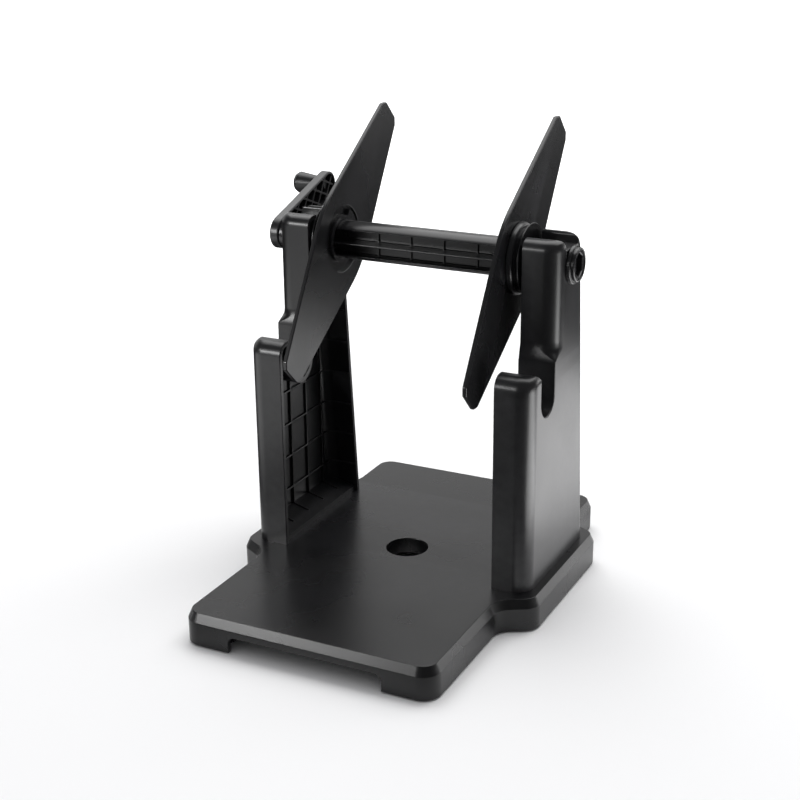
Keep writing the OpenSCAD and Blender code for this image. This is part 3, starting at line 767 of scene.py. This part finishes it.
def makeBush():
    b = bush
    r, e, neck = b["radius"], b["edge"], outerX - b["neckIn"]
    foot = [Vector(p) for p in arc((0, 0), r, math.pi, 2 * math.pi, bends["slot"])]
    top = roundedOutline([(r, 0, 0), (r, r, b["topEdge"]), (-r, r, b["topEdge"]), (-r, 0, 0)],
                         bends["flare"])[1:-1]
    block = plate(foot + top, innerX, outerX, b["blockEdge"], "bush")
    flange = outerX + b["flangeAt"]
    face = flange + b["flangeThick"]
    join(block, spin([(neck, 0, 0), (bushEnd, 0, 0), (bushEnd, r, b["noseEdge"]), (face, r, b["noseRoot"]),
                      (face, b["flangeRadius"], e), (flange, b["flangeRadius"], e),
                      (flange, r - b["neckDown"], 0), (neck, r - b["neckDown"], 0)], "rim", around["bush"]))
    bore = [(innerX - over, 0), (bushEnd + over, 0), (bushEnd + over, b["bore"] + e)]
    bore += [(bushEnd - e + e * y, b["bore"] + e * x) for x, y in reversed(quarter(bends["edge"]))]
    bore += [(innerX - over, b["bore"])]
    return cut(block, spin(sharp(bore), "bore", around["bush"]))


def placeBushes():
    right = makeBush()
    left = moved(copied(right, "left_bush_block"), toAxle @ otherSide)
    right.name = "right_bush_block"
    moved(right, toAxle)
    settle(left, "bearings", ["left_end_bush"], plastics["bush"])
    settle(right, "bearings", ["right_end_bush"], plastics["bush"])


placeBushes()
print("bushes made")


# Roller shaft: round journals, a fluted roller with pockets, and a socket in each end
shaft = {
    "radius": 10.6, "journal": 8.0, "shoulder": 62.2, "pitch": 19.6, "shift": 2.4,
    "pocketFloor": 3.6, "pocketHigh": 7.0, "middleRib": 0.9, "crossRib": 0.6, "endWall": 9.0, "ribTop": 4.6,
    "edge": 0.6, "rootEdge": 0.3, "ribEdge": 0.36, "lipEdge": 0.2,
    "wallStep": 0.05, "draft": 0.6, "floorDraft": 1.1,
    "socketLong": 16.0, "socketWide": 8.8, "socketHigh": 13.0, "shoulderShare": 0.3, "socketEdge": 0.5,
    "flare": 0.5, "flareStep": 0.15, "screwHole": 1.65, "screwTip": 66.1, "tipRoom": 0.4,
}


def socketOutline(d):
    w, h = shaft["socketWide"] / 2 - d, shaft["socketHigh"] / 2 - d
    s = shaft["shoulderShare"] * shaft["socketHigh"]
    return [Vector(p) for p in ((w, -s), (w, s), (0, h), (-w, s), (-w, -s), (0, -h))]


def fluteOutline():  # in y and z: a channel above the cross ribs, with a round lip and a round middle rib
    s = shaft
    high, half = s["pocketHigh"], s["middleRib"] / 2
    lip, e, away = s["lipEdge"], s["ribEdge"], s["radius"]
    lean = math.asin(high / away)
    middle = (math.cos(lean) * away - lip / math.tan((rightAngle - lean) / 2), high + lip)
    points = [(s["ribTop"], half + s["draft"]), (s["ribTop"], high - s["draft"])]
    points += arc(middle, lip, -rightAngle, lean, bends["edge"])
    above = points[-1][1] + away * math.sin(lean)
    points += [(points[-1][0] + away * math.cos(lean), above), (2 * away, above), (2 * away, half - e)]
    return points + arc((away - e, half - e), e, 0, rightAngle, bends["edge"])


def pocketRings(low, high, side, row):  # a pocket between two cross ribs, from its floor to above their tops
    s = shaft
    rings = []
    for y, d in ((s["pocketFloor"], s["floorDraft"]),
                 (s["ribTop"] + s["wallStep"], s["draft"] + s["wallStep"])):
        near, far = s["middleRib"] / 2 + d, s["pocketHigh"] - d
        rings.append([Vector((x, side * y, row * z))
                      for x, z in ((low, near), (high, near), (high, far), (low, far))])
    return rings


def makeShaft():
    s = shaft
    half = [(shaftEnd, 0, 0), (shaftEnd, s["journal"], s["edge"]),
            (s["shoulder"], s["journal"], s["rootEdge"]), (s["shoulder"], s["radius"], s["edge"])]
    body = spin(half + [(-x, r, f) for x, r, f in reversed(half)], "roller", around["shaft"])
    stop = s["shoulder"] - s["endWall"]
    count = math.ceil(innerX / s["pitch"])
    ribs = [s["shift"] + (k + 0.5) * s["pitch"] for k in range(-count, count + 1)]
    edges = [-stop] + [x for x in ribs if abs(x) < stop - s["crossRib"]] + [stop]
    pockets = []
    for side in (-1, 1):
        for row in (-1, 1):
            flute = [(side * y, row * z) for y, z in fluteOutline()]
            cut(body, loftX([(x, flute) for x in (-stop, stop)], "flute"))
            pockets += [loft(pocketRings(a + s["crossRib"] / 2, b - s["crossRib"] / 2, side, row), "pocket")
                        for a, b in zip(edges, edges[1:])]
    cut(body, gathered(pockets))
    outline = roundedOutline([(p.x, p.y, s["socketEdge"]) for p in socketOutline(0)], bends["rim"])
    stations = [(shaftEnd - s["socketLong"], 0), (shaftEnd - s["flare"], 0),
                (shaftEnd - s["flareStep"], s["flareStep"]), (shaftEnd, s["flare"]),
                (shaftEnd + over, s["flare"])]
    for place in (Matrix.Identity(4), otherSide):
        cut(body, moved(loftX([(x, offsetLoop(outline, d)) for x, d in stations], "socket"), place))
    return cut(body, rod(-shaftEnd, s["tipRoom"] - s["screwTip"], s["screwHole"], "screwBore", 0,
                         around["hole"]))


roller = moved(makeShaft(), toAxle)
roller.name = "roller_shaft_body"
settle(roller, "shaft", ["roller_shaft"], plastics["shaft"])
print("shaft made")


# Baffles: long rhombic plates with a round waist, a recess with a window, and a collar
baffle = {
    "apart": 102.4, "long": 174.0, "wide": 57.0, "thick": 2.4, "leftLean": 44.0, "rightLean": 45.4,
    "tipWide": 21.0, "waist": 56.0, "tipCut": 3.3, "tipRound": 1.6, "edge": 0.55,
    "collar": 13.2, "collarLong": 5.0, "collarEdge": 0.5, "bore": 10.68, "boreEdge": 0.5,
    "recess": 18.8, "recessDeep": 1.9, "windowFrom": -25, "windowTo": 60, "innerEdge": 0.4,
}
leans = {"left": math.radians(baffle["leftLean"]), "right": math.radians(baffle["rightLean"])}
baffleIn = baffle["apart"] / 2
baffleOut = baffleIn + baffle["thick"]


def baffleOutline():
    b = baffle
    tip, v = b["long"] / 2, b["tipWide"] / 2
    centre = b["wide"] / 2 - b["waist"]
    reach = Vector((tip - b["tipCut"], v - centre))
    slope = math.atan2(reach.x, reach.y) - math.acos(b["waist"] / reach.length)
    apex = centre + b["waist"] / math.cos(slope)
    half = [(v - b["tipCut"], tip, b["tipRound"]), (-v + b["tipCut"], tip, b["tipRound"]),
            (-v, tip - b["tipCut"], b["tipRound"]), (-apex, 0, b["waist"]),
            (-v, b["tipCut"] - tip, b["tipRound"])]
    return roundedOutline(half + [(-x, -y, r) for x, y, r in half], bends["tip"])


def sector(start, end, x0, x1, name):  # wedge about the shaft, in degrees from the baffle's long axis
    turns = [math.radians(turn) for turn in sweep(start, end, bends["corner"])]
    outline = [Vector((0, 0))] + [baffle["wide"] * Vector((-math.sin(t), math.cos(t))) for t in turns]
    return slab(outline, x0, x1, name)


def makeBaffle():
    b = baffle
    body = plate(baffleOutline(), baffleIn, baffleOut, b["edge"], "baffle", bends["edge"])
    end = baffleOut + b["collarLong"]
    join(body, spin([(baffleIn, 0, 0), (end, 0, 0), (end, b["collar"], b["collarEdge"]),
                     (baffleIn, b["collar"], 0)], "collar", around["shaft"]))
    cut(body, tube(b["recess"], b["collar"], baffleIn - over, baffleIn + b["recessDeep"], "recess"))
    window = tube(b["recess"], b["collar"], baffleIn - over, baffleOut + over, "window")
    cut(body, common(window, sector(b["windowFrom"], b["windowTo"], baffleIn - 2 * over,
                                    baffleOut + 2 * over, "wedge")))
    e = b["boreEdge"]
    bore = [(end + over, 0), (end + over, b["bore"])]
    bore += [(baffleIn + e * x, b["bore"] + e * (1 - y)) for x, y in reversed(quarter(bends["edge"]))]
    bore += [(baffleIn - over, b["bore"] + e), (baffleIn - over, 0)]
    cut(body, spin(sharp(bore), "bore", around["shaft"]))

    def onRecess(p, q):  # on the inner face, at the recess's outer rim
        return all(abs(v.x - baffleIn) < softening["near"]
                   and abs(math.hypot(v.y, v.z) - b["recess"]) < softening["slack"] for v in (p, q))

    return soften(body, b["innerEdge"], onRecess)


# Lock rings: a domed ring outside each baffle with a lug in the baffle's window
ring = {
    "gap": 0.3, "wide": 6.8, "foot": 19.4, "waist": 17.2, "rim": 19.4, "flare": 3.3, "footWide": 0.3,
    "rimWide": 0.5, "wall": 1.5, "bore": 13.28, "mouth": 10.9, "edge": 0.35, "footEdge": 0.2,
    "lug": 17.6, "lugSweep": 36, "lugGap": 1.5, "lugBelow": 0.6, "lugFit": 0.02,
}


def makeRing():
    r = ring
    foot = baffleOut + r["gap"]
    end = foot + r["wide"]
    turns = sweep(0, rightAngle, bends["dome"])
    dome = r["flare"] - r["footWide"]
    flare = r["wide"] - r["rimWide"] - r["flare"]
    lower = [(foot + r["footWide"] + dome * math.sin(t),
              r["waist"] + (r["foot"] - r["waist"]) * math.cos(t), 0) for t in turns]
    upper = [(foot + r["flare"] + flare * math.sin(t),
              r["rim"] - (r["rim"] - r["waist"]) * math.cos(t), 0) for t in turns[1:]]
    inner = [(foot, r["bore"], r["footEdge"]), (foot, r["foot"], r["footEdge"])]
    outer = [(end, r["rim"], r["edge"]), (end, r["mouth"], r["edge"]),
             (end - r["wall"], r["mouth"], r["footEdge"]), (end - r["wall"], r["bore"], 0)]
    body = spin(inner + lower + upper + outer, "ring", around["shaft"])
    lug = tube(r["lug"], r["bore"] + r["lugFit"], baffleIn + r["lugBelow"], foot + bite, "lug")
    start = baffle["windowFrom"] + r["lugGap"]
    return join(body, common(lug, sector(start, start + r["lugSweep"], baffleIn, foot + over, "wedge")))


def placeBaffles():
    plainBaffle, plainRing = makeBaffle(), makeRing()
    for side, flip in (("left", otherSide), ("right", Matrix.Identity(4))):
        place = toAxle @ Matrix.Rotation(-leans[side], 4, "X") @ flip
        leaf = moved(copied(plainBaffle, side + "_baffle_plate"), place)
        settle(leaf, side + "_baffle", [side + "_baffle"], plastics["baffle"])
        lock = moved(copied(plainRing, side + "_lock_dome"), place)
        settle(lock, side + "_lock", [side + "_lock_ring"], plastics["ring"])
    bpy.data.objects.remove(plainBaffle)
    bpy.data.objects.remove(plainRing)


placeBaffles()
print("baffles and lock rings made")


# Crank: drawn with y along the arm and x outwards from the left end of the shaft
crank = {
    "long": 54.5, "lift": math.radians(18.7), "gap": 0.3, "thick": 5.5, "hub": 9.2, "tip": 7.8,
    "edge": 0.8, "skin": 1.8, "rim": 1.4, "rib": 1.0, "ribStep": 11.0, "ribLead": 2.0, "ribShort": 0.3,
    "ribTurn": math.radians(50), "ribDown": 0.8, "hubBoss": 6.6, "tipBoss": 2.8, "bossEdge": 0.3,
    "tipDown": 2.2, "plug": 13.0, "plugGap": 0.2, "plugTaper": 0.6,
    "screwRadius": 1.6, "screwGap": 0.05, "headRadius": 3.1, "headGap": 0.1, "headHigh": 2.0,
    "screwLong": 26.0, "pinHole": 1.55, "pinFloor": 0.4,
}
armIn = bushEnd + crank["gap"]
armOut = armIn + crank["thick"]
atCrank = toAxle @ otherSide @ Matrix.Rotation(crank["lift"], 4, "X")
atGrip = atCrank @ Matrix.Translation((0, crank["long"], 0))


def armOutline(d):
    c = crank
    tilt = math.asin((c["hub"] - c["tip"]) / c["long"])
    turn = rightAngle - tilt
    points = arc((c["long"], 0), c["tip"] - d, -turn, turn, bends["slot"])
    points += arc((0, 0), c["hub"] - d, turn, 2 * math.pi - turn, bends["slot"])
    return [Vector(p) for p in points]


def crankRibs(ribIn, ribEnd):  # bars that cross each other along the arm, trimmed to its hollow
    c = crank
    ribs = None
    y = c["long"] + c["ribLead"]
    while y > 0:
        for turn in (-1, 1):
            bar = blocks([((ribIn, -c["rib"] / 2, -2 * c["hub"]), (ribEnd, c["rib"] / 2, 2 * c["hub"]))],
                         "bar")
            moved(bar, Matrix.Translation((0, y, 0)) @ Matrix.Rotation(turn * c["ribTurn"], 4, "X"))
            ribs = bar if ribs is None else join(ribs, bar)
        y -= c["ribStep"]
    return common(ribs, slab(armOutline(c["rim"] - bite), armIn, armOut - c["ribShort"], "trim"))


def makeArm():
    c = crank
    body = plate(armOutline(0), armIn, armOut, c["edge"], "crank_arm_body", bends["edge"])
    cut(body, slab(armOutline(c["rim"]), armIn - over, armOut - c["skin"], "hollow"))
    ribEnd = armOut - c["skin"] + bite
    join(body, crankRibs(armIn + c["ribDown"], ribEnd))
    join(body, rod(armIn, ribEnd, c["hubBoss"], "boss", c["bossEdge"]))
    tipIn = armIn + c["tipDown"]
    tip = rod(tipIn, ribEnd, c["tipBoss"], "boss", c["bossEdge"], around["boss"])
    join(body, shifted(tip, 0, c["long"], 0))
    plugIn, shape = armIn - c["plug"], socketOutline(c["plugGap"])
    plug = loftX([(x, offsetLoop(shape, d)) for x, d in ((plugIn, -c["plugTaper"]),
                                                         (plugIn + c["plugTaper"], 0), (armIn + bite, 0))],
                 "plug")
    join(body, moved(plug, Matrix.Rotation(-c["lift"], 4, "X")))
    head, thread = c["headRadius"] + c["headGap"], c["screwRadius"] + c["screwGap"]
    headIn = armOut - c["headHigh"]
    cut(body, spin(sharp([(plugIn - over, 0), (armOut + over, 0), (armOut + over, head), (headIn, head),
                          (headIn, thread), (plugIn - over, thread)]), "clear", around["boss"]))
    pinHole = rod(tipIn + c["pinFloor"], armOut + over, c["pinHole"], "hole", 0, around["hole"])
    cut(body, shifted(pinHole, 0, c["long"], 0))
    return moved(body, atCrank)


settle(makeArm(), "shaft", ["crank_arm"], plastics["crank"])


# Grip, its pin and cap
grip = {
    "gap": 0.3, "long": 15.8, "root": 4.4, "free": 6.3, "bevel": 1.3, "bevelLong": 2.0, "bevelEdge": 0.5,
    "rootEdge": 0.4, "endEdge": 0.25, "mouthEdge": 0.2,
    "pin": 2.2, "pinGap": 0.05, "pinRoot": 1.5, "pinShort": 0.5, "pinEdge": 0.1, "tipEdge": 0.3,
    "pinHead": 3.4, "pinHeadHigh": 1.8, "headGap": 0.3, "headLift": 0.15, "headEdge": 0.4, "headUnder": 0.15,
    "cap": 4.4, "capThick": 1.4, "capGap": 0.1, "capEdge": 0.3, "capUnder": 0.2,
}


def makeGrip():
    g = grip
    start = armOut + g["gap"]
    end = start + g["long"]
    lidIn = end - g["capThick"]
    pocket = lidIn - g["pinHeadHigh"] - g["headGap"]
    seat, bore, room = g["cap"] + g["capGap"], g["pin"] + g["pinGap"], g["pinHead"] + g["headGap"]
    body = spin([(start, bore, 0), (pocket, bore, 0), (pocket, room, 0), (lidIn, room, 0), (lidIn, seat, 0),
                 (end, seat, g["mouthEdge"]), (end, g["free"] - g["bevel"], g["endEdge"]),
                 (end - g["bevelLong"], g["free"], g["bevelEdge"]), (start, g["root"], g["rootEdge"])],
                "crank_grip_cone", around["bush"])
    settle(moved(body, atGrip), "grip", ["crank_grip"], plastics["crank"])
    lid = spin([(lidIn, 0, 0), (end, 0, 0), (end, g["cap"], g["capEdge"]), (lidIn, g["cap"], g["capUnder"])],
               "grip_cap_disc")
    settle(moved(lid, atGrip), "grip", ["grip_cap"], plastics["crank"])
    head = pocket + g["headLift"]
    headEnd = head + g["pinHeadHigh"]
    pinEnd = armIn + crank["tipDown"] + g["pinShort"]
    pin = spin([(pinEnd, 0, 0), (headEnd, 0, 0), (headEnd, g["pinHead"], g["headEdge"]),
                (head, g["pinHead"], g["headUnder"]), (head, g["pin"], g["pinEdge"]),
                (armOut, g["pin"], g["pinEdge"]), (armOut, g["pinRoot"], 0),
                (pinEnd, g["pinRoot"], g["tipEdge"])], "grip_pin_turned", around["boss"])
    settle(moved(pin, atGrip), "shaft", ["grip_pin"], blackSteel)


makeGrip()


# Screws with a crossed slot
screw = {
    "radius": 2.0, "head": 3.7, "headHigh": 2.4, "headEdge": 0.2, "headShare": 0.35, "long": 8.2,
    "slotLong": 4.0, "slotWide": 0.9, "slotDeep": 1.4, "rootEdge": 0.05,
    "thread": 0.22, "threadStep": 0.8, "threadShort": 1.2, "tip": 0.5, "tipShare": 0.6,
}


def makeScrew(radius, headRadius, headHigh, longness, name):  # spun about x, head at x 0 and below
    s = screw
    root = radius - s["thread"]
    profile = [(-headHigh, 0, 0), (longness, 0, 0), (longness, radius * s["tipShare"], 0)]
    x = longness - s["tip"]
    for _ in range(int((longness - s["threadShort"]) / s["threadStep"])):
        profile += [(x, root, 0), (x - s["threadStep"] / 2, radius, 0)]
        x -= s["threadStep"]
    profile += [(x, root, 0), (0, root, s["rootEdge"]), (0, headRadius, s["headEdge"]),
                (-headHigh, headRadius, headHigh * s["headShare"])]
    body = spin(profile, name, around["thread"])
    half, wide = s["slotLong"] / 2, s["slotWide"] / 2
    top, deep = -headHigh - over, s["slotDeep"] - headHigh
    cross = blocks([((top, -half, -wide), (deep, half, wide))], "cross")
    join(cross, blocks([((top, -wide, -half), (deep, wide, half))], "cross"))
    return cut(body, cross)


def placeScrews():
    c, s = crank, screw
    bolt = makeScrew(c["screwRadius"], c["headRadius"], c["headHigh"], c["screwLong"], "crank_screw_turned")
    outwards = Matrix.Translation((armOut - c["headHigh"], 0, 0)) @ Matrix.Rotation(math.pi, 4, "Z")
    settle(moved(bolt, atCrank @ outwards), "shaft", ["crank_screw"], steel)
    fixings = [standing(makeScrew(s["radius"], s["head"], s["headHigh"], s["long"], "upright_screws_set"),
                        x, y, underDeck) for x, y in screwPlaces]
    settle(gathered(fixings), "root", ["upright_screws"], steel)


placeScrews()
print("crank and screws made")


# Rubber feet with a rounded tread and a shallow dish
foot = {"edge": 0.6, "topEdge": 0.3, "dish": 0.4, "dishShare": 0.6, "treadShare": 0.75, "dishEdge": 0.2}


def placeFeet():
    f, r, t = foot, base["footRadius"], base["footThick"]
    for x, y in footPlaces:
        node = "foot_" + ("front" if y < 0 else "rear") + "_" + ("left" if x < 0 else "right")
        pad = spin([(t, 0, 0), (t, r, f["topEdge"]), (0, r, f["edge"]),
                    (0, r * f["treadShare"], f["dishEdge"]), (f["dish"], r * f["dishShare"], f["dishEdge"]),
                    (f["dish"], 0, 0)], node + "_pad", around["pad"])
        settle(standing(pad, x, y), "root", [node], plastics["foot"])


placeFeet()
print("feet made")


# Studio: a white table in a dark room, with a white backdrop behind it and soft boxes round it; in gloss the
# table shows painted shade and painted pools of light
studio = {
    "floor": (0.86, 0.86, 0.86), "floorSize": 9.0, "floorRough": 0.9,
    "whiteFar": 0.9, "near": 0.28, "far": 1.2,  # the floor turns white with distance
    "paintedGlossShade": (0.03, 0.03, 0.03),  # painted shade: the floor's colour in gloss outside its painted pools of light
    "poolFade": (0.55, 1.0),
    "paintedLightPools": [  # painted pools of light on the floor, glowing by emission, that only gloss shows, in metres
        {"middle": (0.0, 0.0, 0.0), "size": (0.20, 0.20, 1.0), "glow": 0.0},
        {"middle": (0.24, 0.21, 0.0), "size": (0.21, 0.27, 1.0), "glow": 0.4},
        {"middle": (-0.42, -0.32, 0.0), "size": (0.34, 0.40, 1.0), "glow": 0.9},
    ],
    "horizon": (0.24, 0.24, 0.244), "zenith": (0.70, 0.70, 0.715), "rise": (0.1, 0.9),
    "backdrop": {"toward": (-0.33, 0.94, 0.0), "reach": (0.15, 0.6), "top": (0.35, 0.57),
                 "white": (0.9, 0.9, 0.9), "room": (0.08, 0.08, 0.082)},
    "boxes": {  # place and aim in metres, size, power
        "overhead": {"place": (-0.10, 0.52, 1.15), "aim": (0, 0, 0.12), "size": (1.6, 1.1), "power": 16.5},
        "frontLeft": {"place": (-0.58, -0.92, 0.42), "aim": (0, 0, 0.10), "size": (0.42, 0.26), "power": 7.0,
                      "glossOnly": True},
        "rearRight": {"place": (0.75, 0.95, 0.25), "aim": (0, 0, 0.12), "size": (0.6, 0.35), "power": 1.2},
        "tableRight": {"place": (0.50, 0.02, 0.003), "aim": (0.50, 0.02, 1.0), "size": (0.6, 0.22),
                       "power": 2.6},
        "tableRear": {"place": (0.24, 0.22, 0.003), "aim": (0.24, 0.22, 1.0), "size": (0.24, 0.28),
                      "power": 0.2},
    },
}


def smooth(tree, source, low, high, reach):
    return ranged(tree, source, *reach, low, high, "SMOOTHSTEP")


def length(tree, vector):
    return addNode(tree, "VectorMath", {0: vector}, operation="LENGTH").outputs["Value"]


def mirroredRays(tree, rays):  # rays that show the room in gloss
    return maths(tree, "MAXIMUM", rays["Is Glossy Ray"], rays["Is Transmission Ray"])


def floorMaterial():
    s = studio
    material, tree, shader = newMaterial("floorWhite")
    place = addNode(tree, "TexCoord", {}).outputs["Object"]
    rays = addNode(tree, "LightPath", {}).outputs
    mirrored = mirroredRays(tree, rays)
    inLightPool, glow = None, None
    for pool in s["paintedLightPools"]:
        away = vectorMaths(tree, "SUBTRACT", place, pool["middle"])
        away = vectorMaths(tree, "DIVIDE", away, pool["size"])
        here = smooth(tree, length(tree, away), 1.0, 0.0, s["poolFade"])
        strength = maths(tree, "MULTIPLY", here, pool["glow"])
        inLightPool = here if inLightPool is None else maths(tree, "MAXIMUM", inLightPool, here)
        glow = strength if glow is None else maths(tree, "MAXIMUM", glow, strength)
    paintedGlossShade = maths(tree, "MULTIPLY", mirrored, maths(tree, "SUBTRACT", 1.0, inLightPool))
    seen = maths(tree, "MULTIPLY", rays["Is Camera Ray"],
                 smooth(tree, length(tree, place), 0.0, s["whiteFar"], (s["near"], s["far"])))
    # painted light: in gloss the pools of light glow by emission
    strength = maths(tree, "MAXIMUM", seen, maths(tree, "MULTIPLY", mirrored, glow))
    # painted shade: in gloss the floor turns dark outside the pools of light
    give(tree, shader["Base Color"], mixed(tree, paintedGlossShade, s["floor"], s["paintedGlossShade"]))
    give(tree, shader["Roughness"], s["floorRough"])
    give(tree, shader["Specular IOR Level"], 0.0)
    give(tree, shader["Emission Color"], (1, 1, 1, 1))
    give(tree, shader["Emission Strength"], strength)
    return material


def makeFloor():
    half = studio["floorSize"] / 2
    bm = bmesh.new()
    bm.faces.new([bm.verts.new((x, y, 0)) for x, y in ((-half, -half), (half, -half), (half, half),
                                                       (-half, half))])
    mesh = bpy.data.meshes.new("floor")
    bm.to_mesh(mesh)
    bm.free()
    mesh.materials.append(floorMaterial())
    linked("floor", mesh)


def makeSurroundings():
    s, back = studio, studio["backdrop"]
    world = bpy.data.worlds.new("room")
    bpy.context.scene.world = world
    world.use_nodes = True
    tree = world.node_tree
    direction = addNode(tree, "TexCoord", {}).outputs["Generated"]
    rays = addNode(tree, "LightPath", {}).outputs
    height = addNode(tree, "SeparateXYZ", {0: direction}).outputs["Z"]
    dome = mixed(tree, smooth(tree, height, 0.0, 1.0, s["rise"]), s["horizon"], s["zenith"])
    behind = smooth(tree, vectorMaths(tree, "DOT_PRODUCT", direction, back["toward"], "Value"),
                    0.0, 1.0, back["reach"])
    below = smooth(tree, height, 1.0, 0.0, back["top"])
    cloth = mixed(tree, maths(tree, "MULTIPLY", behind, below), back["room"], back["white"])
    shown = mixed(tree, mirroredRays(tree, rays), dome, cloth)
    give(tree, tree.nodes["Background"].inputs["Color"],
         mixed(tree, rays["Is Camera Ray"], shown, (1.0, 1.0, 1.0)))


def makeStudio():
    makeFloor()
    makeSurroundings()
    for name, look in studio["boxes"].items():
        lamp = bpy.data.lights.new(name, "AREA")
        lamp.shape = "RECTANGLE"
        lamp.size, lamp.size_y = look["size"]
        lamp.energy = look["power"]
        box = linked(name, lamp)
        box.location = look["place"]
        aim = Vector(look["aim"]) - box.location
        box.rotation_euler = aim.to_track_quat("-Z", "Y").to_euler()
        box.visible_camera = False
        box.visible_diffuse = not look.get("glossOnly", False)


makeStudio()
print("studio set")

bpy.context.scene.view_settings.view_transform = "Standard"
